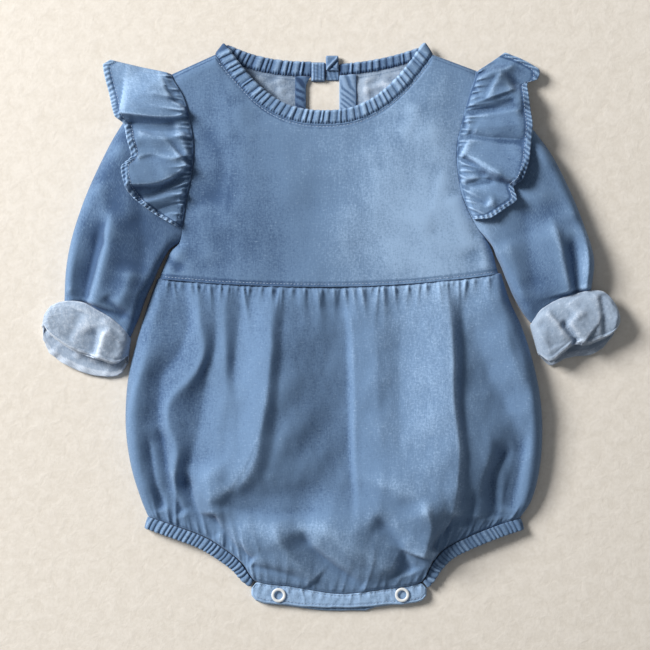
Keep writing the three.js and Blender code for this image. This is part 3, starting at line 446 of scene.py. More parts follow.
def bodice_x(u: Any, y: Any) -> Any:
    """The bodice's X at the share u of the way across, at height y in plan."""
    return mix(BODICE_SIDES.smooth("y", y, "left"), BODICE_SIDES.smooth("y", y, "right"), u)


def bodice_plan(u: Any, v: Any, front: bool) -> tuple[Array, Array, Array, Array]:
    """A point of the bodice in plan.

    Args:
        u: The share of the way from the left side to the right.
        v: The share of the way from the waist to the top edge.
        front: Whether it is the front.

    Returns:
        X, Y, and the Y of the waist and of the top edge there.
    """
    u, v = np.broadcast_arrays(np.asarray(u, float), np.asarray(v, float))
    low, high = np.full(u.shape, WAIST_LOWEST), np.full(u.shape, NECK_TOP)
    for _ in range(12):
        low = waist_y(bodice_x(u, low))
        high = bodice_top_y(bodice_x(u, high), front)
    y = mix(low + SEAM_GAP / 2, high, v)
    return bodice_x(u, y), y, low, high


UNDERARM_Y = {
    Side.LEFT: float(bodice_plan(0.0, UNDERARM_UP, True)[1]),
    Side.RIGHT: float(bodice_plan(1.0, UNDERARM_UP, True)[1]),
}


def skirt_plan(u: Any, v: Any) -> tuple[Array, Array]:
    """A point of the skirt in plan, u from left to right and v from the waist down."""
    u, v = np.broadcast_arrays(np.asarray(u, float), np.asarray(v, float))
    top = mix(SKIRT_SIDES.rows[0][1], SKIRT_SIDES.rows[0][2], u)
    hem = mix(SKIRT_HEM.rows[0][0], SKIRT_HEM.rows[-1][0], u)
    y = mix(waist_y(top) - SEAM_GAP / 2, SKIRT_HEM.smooth("x", hem, "y"), v)
    x = mix(SKIRT_SIDES.smooth("down", v, "left"), SKIRT_SIDES.smooth("down", v, "right"), u)
    return x, y


def garment_shift() -> Array:
    """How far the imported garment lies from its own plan, from the left snap's place."""
    low, high = (np.array(corner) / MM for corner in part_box("snap_left"))
    middle = (low + high) / 2
    return np.array([middle[0] + 39.0, middle[1] + 197.5, 0.0])


SHIFT = garment_shift()


def metres(points: Array) -> Array:
    """Points of the garment's plan in the row's frame, in metres."""
    return (points + SHIFT) * MM


# ---------------------------------------------------------------- washed colour, painted light and painted shade

# Patches painted paler or darker: partly an uneven wash, partly painted light where light falls and painted shade where
# folds and sleeves lie in shade
WASH_AND_PAINTED_LIGHT = Table(
    "x y wide tall paler",
    (
        (70, 105, 60, 75, 0.42),
        (95, 60, 45, 40, 0.3),
        (15, 55, 45, 30, 0.16),
        (-85, 110, 36, 80, -0.34),
        (-45, 60, 40, 40, -0.22),
        (-20, 140, 40, 26, 0.06),
        (-8, -80, 34, 60, -0.16),
        (-28, -5, 30, 30, -0.16),
        (70, -60, 38, 80, 0.2),
        (-110, -40, 30, 60, -0.12),
        (-60, -120, 26, 40, 0.05),
        (0, -165, 60, 24, 0.2),
        (126, -110, 24, 40, -0.12),
        (-150, 110, 34, 70, -0.3),
        (-152, 46, 34, 70, -0.3),
        (-118, -70, 30, 80, -0.16),
        (140, 90, 36, 70, -0.32),
        (184, 60, 10, 50, 0.12),
        (150, 20, 20, 24, -0.3),
    ),
)


def wash_and_painted_light(x: Array, y: Array) -> Array:
    """How much paler or darker the cloth is painted at places in plan, 0.5 being the cloth's own shade: partly an
    uneven wash, partly painted light and shade for how the light falls over the folds.
    """
    total = np.full(x.shape, 0.5)
    for px, py, wide, tall, paler in WASH_AND_PAINTED_LIGHT.rows:
        total += paler * np.exp(-(((x - px) / wide) ** 2) - ((y - py) / tall) ** 2)
    return np.clip(total, 0.0, 1.0)


def wear_and_hollow_shade(heights: Array, wide: int = 14, scale: float = 0.5) -> Array:
    """Wear and painted shade from the folds: 1 on crests, paler as worn cloth, 0 in hollows, darker as painted shade,
    and 0.5 on the flat.

    Args:
        heights: A grid of heights.
        wide: How broad the crests are, in grid steps.
        scale: The height over or under its surroundings that gives the full mark.

    Returns:
        The grid of wear and painted shade.
    """
    fine = soften(heights, 2)
    return np.clip(0.5 + 0.5 * (fine - soften(fine, wide)) / scale, 0.0, 1.0)


# ---------------------------------------------------------------- meshes


@dataclass
class Wall:
    """A wall of cloth between two grids of points, which may run round in a ring, with its rims rounded over."""

    outer: Array
    inner: Array
    cloth: Array
    marks: dict[str, Array]
    ring: bool = False
    rim: float = 0.5

    def _loops(self) -> list[Array]:
        """The grid's edges as closed runs of point numbers."""
        rows, cols = self.outer.shape[:2]
        number = np.arange(rows * cols).reshape(rows, cols)
        if self.ring:
            return [number[0], number[-1][::-1]]
        return [np.concatenate([number[0, :-1], number[:-1, -1], number[-1, :0:-1], number[:0:-1, 0]])]

    def _rim_points(self, run: Array) -> Array:
        """The points of a rounded rim along an edge."""
        rows, cols = self.outer.shape[:2]
        r, c = run // cols, run % cols
        inward_r = np.clip(r, 1, rows - 2)
        inward_c = c if self.ring else np.clip(c, 1, cols - 2)
        outer, inner = self.outer[r, c], self.inner[r, c]
        through = unit(outer - inner)
        away = outer - self.outer[inward_r, inward_c]
        away = unit(away - through * (away * through).sum(-1, keepdims=True))
        thick = np.linalg.norm(outer - inner, axis=-1, keepdims=True)
        return (outer + inner) / 2 + away * thick * self.rim

    def arrays(self) -> tuple[Array, Array, Array, Array, dict[str, Array]]:
        """The wall's points, faces, cloth coordinates at the faces' corners, face layers and marks.

        Returns:
            Points, four-sided faces, a UV for each corner, 0 for the right side and 1 for the wrong side of each
            face, and the marks for each point.
        """
        rows, cols = self.outer.shape[:2]
        count = rows * cols
        number = np.arange(count).reshape(rows, cols)
        across = np.concatenate([number, number[:, :1]], 1) if self.ring else number
        a, b, c, d = across[:-1, :-1], across[:-1, 1:], across[1:, 1:], across[1:, :-1]
        outside = np.stack([a, b, c, d], -1).reshape(-1, 4)
        inside = np.stack([a, d, c, b], -1).reshape(-1, 4)
        uv = self.cloth
        ua, ub, uc, ud = uv[:-1, :-1], uv[:-1, 1:], uv[1:, 1:], uv[1:, :-1]
        outside_uv = np.stack([ua, ub, uc, ud], -2).reshape(-1, 4, 2)
        inside_uv = np.stack([ua, ud, uc, ub], -2).reshape(-1, 4, 2)
        points = [self.outer.reshape(-1, 3), self.inner.reshape(-1, 3)]
        faces, corners = [outside, inside + count], [outside_uv, inside_uv]
        layers = [np.zeros(len(outside), int), np.ones(len(inside), int)]
        flat_uv = uv[:, :cols].reshape(-1, 2)
        marks = {name: [grid.ravel(), grid.ravel()] for name, grid in self.marks.items()}
        start = 2 * count
        for run in self._loops():
            rim = start + np.arange(len(run))
            points.append(self._rim_points(run))
            for name, grid in self.marks.items():
                marks[name].append(grid.ravel()[run])
            after, rim_after = np.roll(run, -1), np.roll(rim, -1)
            faces += [np.stack([after, run, rim, rim_after], -1)]
            faces += [np.stack([rim_after, rim, run + count, after + count], -1)]
            ends = [flat_uv[run], flat_uv[run], flat_uv[run], flat_uv[run]]
            corners += [np.stack(ends, 1)] * 2
            layers += [np.zeros(len(run), int)] * 2
            start += len(run)
        joined = {name: np.concatenate(parts) for name, parts in marks.items()}
        return np.concatenate(points), np.concatenate(faces), np.concatenate(corners), np.concatenate(layers), joined


def signed_volume(points: Array, faces: Array) -> float:
    """Six times the volume that four-sided faces close in, below 0 where they face in."""
    a, b, c, d = (points[faces[:, k]] for k in range(4))
    return float((np.cross(a, b) * c).sum() + (np.cross(a, c) * d).sum())


def placed(name: str, data: Any) -> bpy.types.Object:
    """A new object with these data, at the origin of the scene."""
    made = bpy.data.objects.new(name, data)
    bpy.context.scene.collection.objects.link(made)
    return made


def cloth_object(name: str, walls: Sequence[Wall], materials: Sequence[bpy.types.Material]) -> bpy.types.Object:
    """One mesh object from walls of cloth.

    Args:
        name: The piece's name.
        walls: The walls, in the garment's plan.
        materials: The right side's finish and the wrong side's.

    Returns:
        The new object, at the origin.
    """
    points, faces, corners, layers = [], [], [], []
    marks: dict[str, list[Array]] = {}
    start = 0
    for wall in walls:
        wall_points, wall_faces, wall_corners, wall_layers, wall_marks = wall.arrays()
        if signed_volume(wall_points, wall_faces) < 0:
            wall_faces, wall_corners = wall_faces[:, ::-1], wall_corners[:, ::-1]
        points.append(wall_points)
        faces.append(wall_faces + start)
        corners.append(wall_corners)
        layers.append(wall_layers)
        for mark, values in wall_marks.items():
            marks.setdefault(mark, []).append(values)
        start += len(wall_points)
    mesh = bpy.data.meshes.new(name)
    mesh.from_pydata(metres(np.concatenate(points)).tolist(), [], np.concatenate(faces).tolist())
    mesh.uv_layers.new(name="Cloth").uv.foreach_set("vector", (np.concatenate(corners) * MM).astype(np.float32).ravel())
    for mark, values in marks.items():
        layer = mesh.attributes.new(mark, "FLOAT", "POINT")
        layer.data.foreach_set("value", np.concatenate(values).astype(np.float32))
    for material in materials:
        mesh.materials.append(material)
    mesh.polygons.foreach_set("material_index", np.minimum(np.concatenate(layers), len(materials) - 1))
    mesh.polygons.foreach_set("use_smooth", np.ones(len(mesh.polygons), bool))
    mesh.update()
    return placed(name, mesh)


Place = Callable[[Array, Array], Array]


@dataclass(frozen=True)
class Panel:
    """A panel of cloth over a map of its two shares u and v: where it lies, which way is out, and its folds."""

    place: Place
    sign: float
    raised: Callable[[Array, Array, Array], Array]
    square: Callable[[Array, Array, Array], Array]
    wall: float = CLOTH

    def facing(self, u: Array, v: Array) -> Array:
        """The outward direction of the cloth."""
        step = 0.002
        across = self.place(np.clip(u + step, 0, 1), v) - self.place(np.clip(u - step, 0, 1), v)
        along = self.place(u, np.clip(v + step, 0, 1)) - self.place(u, np.clip(v - step, 0, 1))
        return unit(np.cross(across, along)) * self.sign

    def layers(self, u: Array, v: Array) -> tuple[Array, Array, Array]:
        """The panel's outer and inner faces and the height of its folds.

        Args:
            u: Shares across.
            v: Shares along.

        Returns:
            Outer points, inner points and fold heights.
        """
        base = self.place(u, v)
        facing = unit(self.square(self.facing(u, v), u, v))
        rise = self.raised(u, v, base)
        outer = base + facing * rise[..., None]
        return outer, outer - facing * self.wall, rise

    def on(self, u: Any, v: Any, above: float = 0.0) -> Array:
        """Points on the outer face, or a little above it."""
        u, v = np.broadcast_arrays(np.asarray(u, float), np.asarray(v, float))
        outer, inner, _ = self.layers(u, v)
        return outer + unit(outer - inner) * above


# ---------------------------------------------------------------- finishes


class Value:
    """A number in a material's nodes that takes part in sums like any other."""

    def __init__(self, tree: "NodeSheet", socket: bpy.types.NodeSocket) -> None:
        """Keeps the node tree and the output socket that gives the number."""
        self.tree = tree
        self.socket = socket

    def _with(self, operation: str, *others: Any) -> "Value":
        """A Math node on this value and others, in that order."""
        return self.tree.sum_of(operation, self, *others)

    def __add__(self, other: Any) -> "Value":
        """This value plus another."""
        return self._with("ADD", other)

    __radd__ = __add__

    def __sub__(self, other: Any) -> "Value":
        """This value less another."""
        return self._with("SUBTRACT", other)

    def __rsub__(self, other: Any) -> "Value":
        """Another value less this one."""
        return self.tree.sum_of("SUBTRACT", other, self)

    def __mul__(self, other: Any) -> "Value":
        """This value times another."""
        return self._with("MULTIPLY", other)

    __rmul__ = __mul__

    def __truediv__(self, other: Any) -> "Value":
        """This value over another."""
        return self._with("DIVIDE", other)

    def __rtruediv__(self, other: Any) -> "Value":
        """Another value over this one."""
        return self.tree.sum_of("DIVIDE", other, self)

    def sine(self) -> "Value":
        """The value's sine."""
        return self._with("SINE")

    def size(self) -> "Value":
        """The value without its sign."""
        return self._with("ABSOLUTE")

    def held(self) -> "Value":
        """The value kept between 0 and 1."""
        node = self.tree.node("ShaderNodeClamp", {}, {"Value": self})
        return Value(self.tree, node.outputs[0])

    def ramp(self, low: float, high: float, start: float = 0.0, end: float = 1.0) -> "Value":
        """The value from low to high spread softly over start to end."""
        settings = {"interpolation_type": "SMOOTHSTEP"}
        inputs = {"Value": self, "From Min": low, "From Max": high, "To Min": start, "To Max": end}
        return Value(self.tree, self.tree.node("ShaderNodeMapRange", settings, inputs).outputs["Result"])


class NodeSheet:
    """The node tree of one material."""

    def __init__(self, name: str) -> None:
        """Makes an empty material with its output."""
        self.material = bpy.data.materials.new(name)
        self.material.use_nodes = True
        self.tree = self.material.node_tree
        self.tree.nodes.clear()
        self.output = self.node("ShaderNodeOutputMaterial", {}, {})

    def node(self, kind: str, settings: dict[str, Any], inputs: dict[Any, Any]) -> bpy.types.Node:
        """Adds a node.

        Args:
            kind: The node's type.
            settings: Its own settings, made before its sockets are filled.
            inputs: What goes into its sockets, by name or number: numbers, colours, sockets or Values.

        Returns:
            The node.
        """
        node = self.tree.nodes.new(kind)
        for name, setting in settings.items():
            setattr(node, name, setting)
        for key, given in inputs.items():
            socket = node.inputs[key]
            if isinstance(given, Value):
                given = given.socket
            if isinstance(given, bpy.types.NodeSocket):
                self.tree.links.new(given, socket)
            else:
                socket.default_value = given
        return node

    def sum_of(self, operation: str, *terms: Any) -> Value:
        """A Math node's result on terms that are Values or numbers."""
        node = self.node("ShaderNodeMath", {"operation": operation}, dict(enumerate(terms)))
        return Value(self, node.outputs[0])

    def value(self, socket: bpy.types.NodeSocket) -> Value:
        """A socket as a Value."""
        return Value(self, socket)

    def mark(self, name: str) -> Value:
        """A number kept on the mesh's points."""
        node = self.node("ShaderNodeAttribute", {"attribute_type": "GEOMETRY", "attribute_name": name}, {})
        return Value(self, node.outputs["Fac"])

    def noise(self, vector: Any, scale: float, detail: float, roughness: float = 0.5, bend: float = 0.0) -> Value:
        """A noise texture's value along a vector."""
        inputs = {"Vector": vector, "Scale": scale, "Detail": detail, "Roughness": roughness, "Distortion": bend}
        return Value(self, self.node("ShaderNodeTexNoise", {"noise_dimensions": "3D"}, inputs).outputs["Fac"])

    def stretched(self, vector: Any, scale: tuple[float, float, float]) -> bpy.types.NodeSocket:
        """A vector scaled along its axes."""
        node = self.node("ShaderNodeVectorMath", {"operation": "MULTIPLY"}, {0: vector, 1: scale})
        return node.outputs[0]

    def blend(self, share: Any, first: Any, second: Any, kind: str = "MIX") -> bpy.types.NodeSocket:
        """A colour between two others."""
        settings = {"data_type": "RGBA", "blend_type": kind}
        return self.node("ShaderNodeMix", settings, {0: share, 6: first, 7: second}).outputs[2]

    def surface(self, inputs: dict[str, Any]) -> bpy.types.Material:
        """Ends the tree in a Principled shader with these inputs and gives the material."""
        shader = self.node("ShaderNodeBsdfPrincipled", {}, inputs)
        self.tree.links.new(shader.outputs[0], self.output.inputs["Surface"])
        return self.material


Colour = tuple[float, float, float, float]


def colour(red: float, green: float, blue: float) -> Colour:
    """A screen colour, 0 to 255, as the linear colour that a socket takes."""
    shares = (red / 255, green / 255, blue / 255)
    linear = [c / 12.92 if c <= 0.04045 else ((c + 0.055) / 1.055) ** 2.4 for c in shares]
    return (*linear, 1.0)


@dataclass(frozen=True)
class ChambrayFinish:
    """Washed chambray: blue warp and pale weft in a plain weave, with slubs, flecks, wear and an uneven wash, and
    painted light and shade carried by the same marks.
    """

    name: str
    deep: Colour
    mid: Colour
    pale: Colour
    fleck: Colour
    thread: float = 0.42  # one thread of the weave
    wash_and_light: float = 0.8
    wear_and_shade: float = 0.6
    grain: float = 1.0
    relief: float = 1.0

    def material(self) -> bpy.types.Material:
        """Builds the finish.

        Returns:
            The material.
        """
        sheet = NodeSheet(self.name)
        cloth = sheet.node("ShaderNodeUVMap", {"uv_map": "Cloth"}, {}).outputs["UV"]
        split = sheet.node("ShaderNodeSeparateXYZ", {}, {0: cloth})
        across, along = sheet.value(split.outputs[0]), sheet.value(split.outputs[1])
        turn = math.pi / (self.thread * MM)
        warp_wave, weft_wave = (across * turn).sine(), (along * turn).sine()
        over = warp_wave * weft_wave
        warp_slub = sheet.noise(sheet.stretched(cloth, (1250.0, 190.0, 1.0)), 1.0, 2.0)
        weft_slub = sheet.noise(sheet.stretched(cloth, (260.0, 1300.0, 1.0)), 1.0, 2.0)
        heather = sheet.noise(cloth, 600.0, 4.0, 0.75)
        clouds = sheet.noise(cloth, 34.0, 4.0, 0.6, 0.4)
        streaks = sheet.noise(sheet.stretched(cloth, (210.0, 26.0, 1.0)), 1.0, 3.0, 0.6)
        # The wash and wear marks paint light and shade on to the cloth, as well as its wash and wear
        wash_and_light, worn_and_shaded = sheet.mark("wash_and_painted_light"), sheet.mark("worn_and_shaded")
        shade = 0.5 + (wash_and_light - 0.5) * self.wash_and_light + (clouds - 0.5) * 0.14 + (streaks - 0.5) * 0.16
        shade = shade + (heather - 0.5) * (0.75 * self.grain)
        shade = shade + (warp_slub - 0.5) * (0.3 * self.grain) + (weft_slub - 0.5) * (0.14 * self.grain)
        shade = shade + (worn_and_shaded - 0.5) * self.wear_and_shade + over * 0.05
        lower = sheet.blend(shade.ramp(0.0, 0.5), self.deep, self.mid)
        base = sheet.blend(shade.ramp(0.5, 1.0), lower, self.pale)
        flecks = (weft_slub.ramp(0.56, 0.78) * heather.ramp(0.44, 0.66) * (0.3 * self.grain)).held()
        seen = sheet.blend(flecks, base, self.fleck)
        height = over * 0.35 + (warp_slub - 0.5) * 0.8 + (weft_slub - 0.5) * 0.8 + (heather - 0.5) * 0.5
        bump = sheet.node(
            "ShaderNodeBump", {}, {"Strength": 0.55 * self.relief, "Distance": 0.00022, "Height": height}
        )
        return sheet.surface(
            {
                "Base Color": seen,
                "Roughness": heather.ramp(0.3, 0.7, 0.82, 0.96),
                "Normal": bump.outputs[0],
                "Sheen Weight": 0.18,
                "Sheen Roughness": 0.45,
                "Specular IOR Level": 0.22,
            }
        )


@dataclass(frozen=True)
class ThreadFinish:
    """Twisted sewing thread."""

    name: str
    dark: Colour
    light: Colour

    def material(self) -> bpy.types.Material:
        """Builds the finish."""
        sheet = NodeSheet(self.name)
        place = sheet.node("ShaderNodeTexCoord", {}, {}).outputs["Object"]
        twist = sheet.noise(place, 2600.0, 2.0)
        patch = sheet.noise(place, 140.0, 2.0)
        seen = sheet.blend((twist * 0.6 + patch * 0.6 - 0.1).held(), self.dark, self.light)
        bump = sheet.node("ShaderNodeBump", {}, {"Strength": 0.4, "Distance": 0.0001, "Height": twist})
        rough = twist.ramp(0.3, 0.7, 0.55, 0.75)
        return sheet.surface({"Base Color": seen, "Roughness": rough, "Normal": bump.outputs[0]})


@dataclass(frozen=True)
class EnamelFinish:
    """White enamel on a pressed metal ring."""

    name: str

    def material(self) -> bpy.types.Material:
        """Builds the finish."""
        sheet = NodeSheet(self.name)
        place = sheet.node("ShaderNodeTexCoord", {}, {}).outputs["Object"]
        orange_peel = sheet.noise(place, 900.0, 2.0)
        handled = sheet.noise(place, 260.0, 3.0)
        seen = sheet.blend(handled.ramp(0.35, 0.75), colour(246, 248, 247), colour(226, 230, 232))
        bump = sheet.node("ShaderNodeBump", {}, {"Strength": 0.12, "Distance": 0.00008, "Height": orange_peel})
        return sheet.surface(
            {
                "Base Color": seen,
                "Roughness": handled.ramp(0.3, 0.7, 0.22, 0.36),
                "Normal": bump.outputs[0],
                "Coat Weight": handled.ramp(0.2, 0.8, 0.6, 0.4),
                "Coat Roughness": 0.12,
            }
        )


@dataclass(frozen=True)
class TabletopFinish:
    """The pale, faintly pebbled surface that the garment lies on."""

    name: str

    def material(self) -> bpy.types.Material:
        """Builds the finish."""
        sheet = NodeSheet(self.name)
        place = sheet.node("ShaderNodeTexCoord", {}, {}).outputs["Object"]
        pebble = sheet.noise(place, 120.0, 5.0, 0.6, 0.5)
        speck = sheet.noise(place, 420.0, 3.0)
        broad = sheet.noise(place, 3.5, 2.0)
        tint = (pebble * 0.5 + speck * 0.3 + broad * 0.2).held()
        seen = sheet.blend(tint.ramp(0.3, 0.7), colour(226, 218, 206), colour(241, 234, 224))
        bump = sheet.node("ShaderNodeBump", {}, {"Strength": 0.5, "Distance": 0.0006, "Height": pebble})
        rough = speck.ramp(0.3, 0.7, 0.8, 0.95)
        return sheet.surface({"Base Color": seen, "Roughness": rough, "Normal": bump.outputs[0]})


@dataclass
class Finishes:
    """Every finish of the garment, made once."""

    right: bpy.types.Material = field(init=False)
    wrong: bpy.types.Material = field(init=False)
    dark: bpy.types.Material = field(init=False)
    thread: bpy.types.Material = field(init=False)
    enamel: bpy.types.Material = field(init=False)

    def __post_init__(self) -> None:
        """Builds the materials."""
        self.right = ChambrayFinish(
            "chambray_right_side",
            deep=colour(66, 92, 128),
            mid=colour(108, 137, 172),
            pale=colour(160, 190, 224),
            fleck=colour(196, 216, 238),
        ).material()
        self.wrong = ChambrayFinish(
            "chambray_wrong_side",
            deep=colour(112, 132, 158),
            mid=colour(158, 176, 198),
            pale=colour(208, 220, 236),
            fleck=colour(232, 238, 246),
            wash_and_light=0.55,
            wear_and_shade=0.5,
            grain=1.4,
        ).material()
        self.dark = ChambrayFinish(
            "chambray_binding",
            deep=colour(48, 70, 104),
            mid=colour(92, 120, 156),
            pale=colour(142, 170, 204),
            fleck=colour(176, 198, 224),
            wash_and_light=0.5,
            wear_and_shade=0.7,
        ).material()
        self.thread = ThreadFinish("sewing_thread", colour(146, 172, 206), colour(214, 228, 244)).material()
        self.enamel = EnamelFinish("snap_enamel").material()


@dataclass(frozen=True)
class Dressing:
    """A finished cloth piece's imported nodes, which it hides, with its slot, cut and what it lies on, which nothing
    reads.
    """

    nodes: tuple[str, ...]
    slot: Slot
    flat: Point
    area: float
    held: str
    rests_on: tuple[str, ...] = ("skirt_back",)

    def give(self, piece: bpy.types.Object) -> bpy.types.Object:
        """Attaches a piece to the body, hides the imported nodes it replaces and logs its faces.

        Args:
            piece: The finished piece.

        Returns:
            The same piece.
        """
        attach(piece, BODY)
        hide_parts(*self.nodes)
        log.info("%s: %d faces", piece.name, len(piece.data.polygons))
        return piece


# ---------------------------------------------------------------- bodice


@dataclass
class Bodice:
    """The bodice's front and back, joined at the side and shoulder seams."""

    finishes: Finishes
    across: int = 150
    along: int = 112
    stitch_from_seam: float = 1.7
    groove: float = 0.3
    folds: tuple[Fold, ...] = (
        Fold(((-86, 160), (-62, 110), (-84, 60)), 1.5, 14, 24),
        Fold(((68, 160), (80, 110), (62, 60)), 1.9, 26, 14),
        Fold(((-126, 60), (-116, 52), (-108, 46)), 1.7, 3.5, 7, 1.5, 0.05, 0.4),
        Fold(((-124, 54), (-115, 47), (-107, 38)), -1.3, 3, 3, 1.6, 0.1, 0.4),
        Fold(((-100, 92), (-92, 70), (-90, 44)), 0.8, 6, 10, 1.6),
        Fold(((90, 100), (98, 76), (104, 52)), 1.1, 9, 6, 1.6),
        Fold(((84, 130), (72, 96), (80, 58)), -0.8, 10, 9),
        Fold(((-96, 150), (-80, 120), (-88, 84)), -0.8, 9, 8),
        Fold(((-60, 150), (-36, 122), (-30, 84)), 0.7, 18, 12),
        Fold(((20, 140), (34, 104), (30, 60)), 0.6, 14, 16),
        Fold(((-10, 138), (-14, 92), (-4, 46)), -0.5, 15, 13),
        Fold(((-70, 165), (-66, 150), (-56, 136)), 0.6, 5, 7, 1.6),
        Fold(((62, 166), (58, 150), (50, 138)), 0.6, 6, 5, 1.6),
        Fold(((110, 70), (112, 56), (114, 40)), 0.9, 4, 4, 1.5),
    )

    def panel(self, front: bool) -> Panel:
        """The map of one of the two sides.

        Args:
            front: Whether it is the front.

        Returns:
            The panel.
        """

        def turn(u: Array, x: Array, y: Array, high: Array) -> Array:
            """How far the cloth has come round from a closed edge, 0 on the seam and 1 on the flat."""
            left = u < 0.5
            from_side = np.where(left, x - bodice_x(0.0, y), bodice_x(1.0, y) - x)
            top = np.where(left, SHOULDER_LEFT[1], SHOULDER_RIGHT[1])
            under = np.where(left, UNDERARM_Y[Side.LEFT], UNDERARM_Y[Side.RIGHT])
            armhole = quarter_round(np.minimum(y - under, top - y) / ARMHOLE_ROUND)
            side = armhole + (1 - armhole) * quarter_round(from_side / EDGE_ROUND)
            opened = quarter_round(np.minimum(x - NECK_LEFT, NECK_RIGHT - x) / 30.0)
            return side * (opened + (1 - opened) * quarter_round((high - y) / EDGE_ROUND))

        def place(u: Array, v: Array) -> Array:
            """Where the cloth lies."""
            x, y, _, high = bodice_plan(u, v, front)
            turned = turn(u, x, y, high)
            if not front:
                return np.stack([x, y, (SEAM_HEIGHT - SEAM_GAP / 2) * (1 - turned)], -1)
            edge, middle = (BODICE_HEIGHTS.smooth("up", v, name) for name in ("edge", "middle"))
            dome = 1 - np.abs(2 * u - 1) ** 2.2
            foot = SEAM_HEIGHT + SEAM_GAP / 2
            return np.stack([x, y, foot + (edge - foot + (middle - edge) * dome) * turned], -1)

        def square(facing: Array, u: Array, v: Array) -> Array:
            """Rims stand square to their seams."""
            x = bodice_plan(u, v, front)[0]
            out = facing.copy()
            side = ((u == 0) | (u == 1)) & (v <= UNDERARM_UP)
            shoulder = (v == 1) & ((x <= NECK_LEFT) | (x >= NECK_RIGHT))
            corner = np.where(u == 0, -1.0, np.where(u == 1, 1.0, 0.0))
            out[shoulder] = np.stack([corner, np.ones(u.shape), np.zeros(u.shape)], -1)[shoulder]
            upright = ((v == 0) | (v == 1)) & ~shoulder
            out[upright, 1] = 0.0
            out[side] = np.stack([corner, np.zeros(u.shape), np.zeros(u.shape)], -1)[side]
            return out

        return Panel(place, 1.0 if front else -1.0, self._front_folds if front else self._back_folds, square)

    def _fade(self, u: Array, v: Array) -> Array:
        """How far the folds have come in from the panel's edges."""
        sides = quarter_round(np.minimum(u, 1 - u) / 0.06)
        return sides * quarter_round(v / 0.05) * quarter_round((1 - v) / 0.08)

    def _front_folds(self, u: Array, v: Array, base: Array) -> Array:
        """The front's broad folds, its crumpling, and the puckers and grooves of its stitched edges."""
        x, y = base[..., 0], base[..., 1]
        from_waist = y - waist_y(x)
        slope = (neckline_y(x + 0.5, True) - neckline_y(x - 0.5, True)) / 1.0
        from_neck = (neckline_y(x, True) - y) / np.sqrt(1 + slope**2)
        in_neck = (x > NECK_LEFT) & (x < NECK_RIGHT)
        broad = fold_heights(self.folds, x, y) + Crumple(5, 46, 0.34).heights(x, y) + Crumple(9, 17, 0.07).heights(x, y)
        pucker = Gathers(
            seed=41, length=260, pitch=5.2, rise=0.55, wide=1.5, short=2.5, long=11, spread=0.05,
        ).heights(x + 130, np.maximum(from_waist, 0))
        pull = Gathers(
            seed=43, length=240, pitch=5.0, rise=0.4, wide=1.4, short=2.0, long=9, spread=0.05,
        ).heights(x + 120, np.maximum(from_neck, 0))
        pucker = pucker * np.exp(-np.maximum(from_waist, 0) / 14)
        neck_groove = ridge(from_neck - self.stitch_from_seam, 0.8) * in_neck
        waist_groove = ridge(from_waist - self.stitch_from_seam, 0.8)
        rolled = 0.35 * ridge(from_waist, 1.2)
        fine = (pucker + np.where(in_neck, pull, 0.0) * np.exp(-np.maximum(from_neck, 0) / 10)) * smooth(
            np.minimum(u, 1 - u) / 0.05
        )
        return broad * self._fade(u, v) + fine + rolled - self.groove * (neck_groove + waist_groove)

    def _back_folds(self, u: Array, v: Array, base: Array) -> Array:
        """The back lies flat on the table, with a few creases pressed into it."""
        x, y = base[..., 0], base[..., 1]
        creases = fold_heights(
            (
                Fold(((-64, 178), (-52, 166), (-44, 150), (-40, 136)), -2.0, 2, 7, 1.2),
                Fold(((-44, 184), (-36, 172), (-33, 158)), -1.2, 3, 6, 1.2),
                Fold(((22, 186), (27, 172), (26, 156)), -1.4, 2, 5, 1.2),
                Fold(((34, 184), (44, 174), (60, 176)), -1.6, 2, 4, 1.2),
                Fold(((40, 182), (46, 166), (44, 150)), -1.5, 2.5, 3.5, 1.2),
                Fold(((56, 188), (60, 174), (54, 160)), -1.3, 4, 2.5, 1.2),
                Fold(((-30, 120), (-50, 80), (-46, 44)), -0.5, 7, 9, 1.8),
                Fold(((40, 120), (60, 84), (52, 46)), -0.5, 9, 7, 1.8),
            ),
            x,
            y,
        )
        # The back's outward way is down, so a crease goes up, away from the table
        beside = smooth(np.abs(x + 6) / 16 - 0.9) * smooth((y - 120) / 30)
        crumple = Crumple(15, 30, 0.06).heights(x, y) + Crumple(17, 9, 0.4).heights(x, y) * beside
        return np.minimum(creases + crumple - 0.1 - 0.4 * beside, 0.0) * self._fade(u, v)

    def _grid(self) -> tuple[Array, Array]:
        """The shares across and along that the panels are sampled at."""
        neck_u = [(x - SHOULDER_LEFT[0]) / (SHOULDER_RIGHT[0] - SHOULDER_LEFT[0]) for x in (NECK_LEFT, NECK_RIGHT)]
        edge = neck_u[0] * crowded(30, 0.9)
        right = 1 - (1 - neck_u[1]) * crowded(30, 0.9)[::-1]
        middle = np.linspace(neck_u[0], neck_u[1], self.across - 60 + 2)[1:-1]
        us = np.concatenate([edge, middle, right])
        low = UNDERARM_UP * crowded(26, 0.75)
        vs = np.concatenate([low, UNDERARM_UP + (1 - UNDERARM_UP) * crowded(self.along - 25, 0.7)[1:]])
        return np.meshgrid(us, vs)

    def build(self) -> tuple[Panel, Panel]:
        """Builds both sides and gives their maps, front first."""
        u, v = self._grid()
        panels = []
        for front in (True, False):
            panel = self.panel(front)
            outer, inner, rise = panel.layers(u, v)
            x, y = outer[..., 0], outer[..., 1]
            _, _, low, high = bodice_plan(u, v, front)
            from_edge = np.minimum(y - low, high - y)
            worn_and_shaded = wear_and_hollow_shade(rise if front else -rise, 12, 0.35)
            # painted shadow: dark lines on either side of the stitching along the waist seam and the top edge
            stitch_groove_shadow = 0.7 * ridge(from_edge - 0.8, 0.6)
            stitch_groove_shadow = stitch_groove_shadow + 0.6 * ridge(from_edge - 3.1, 0.55)
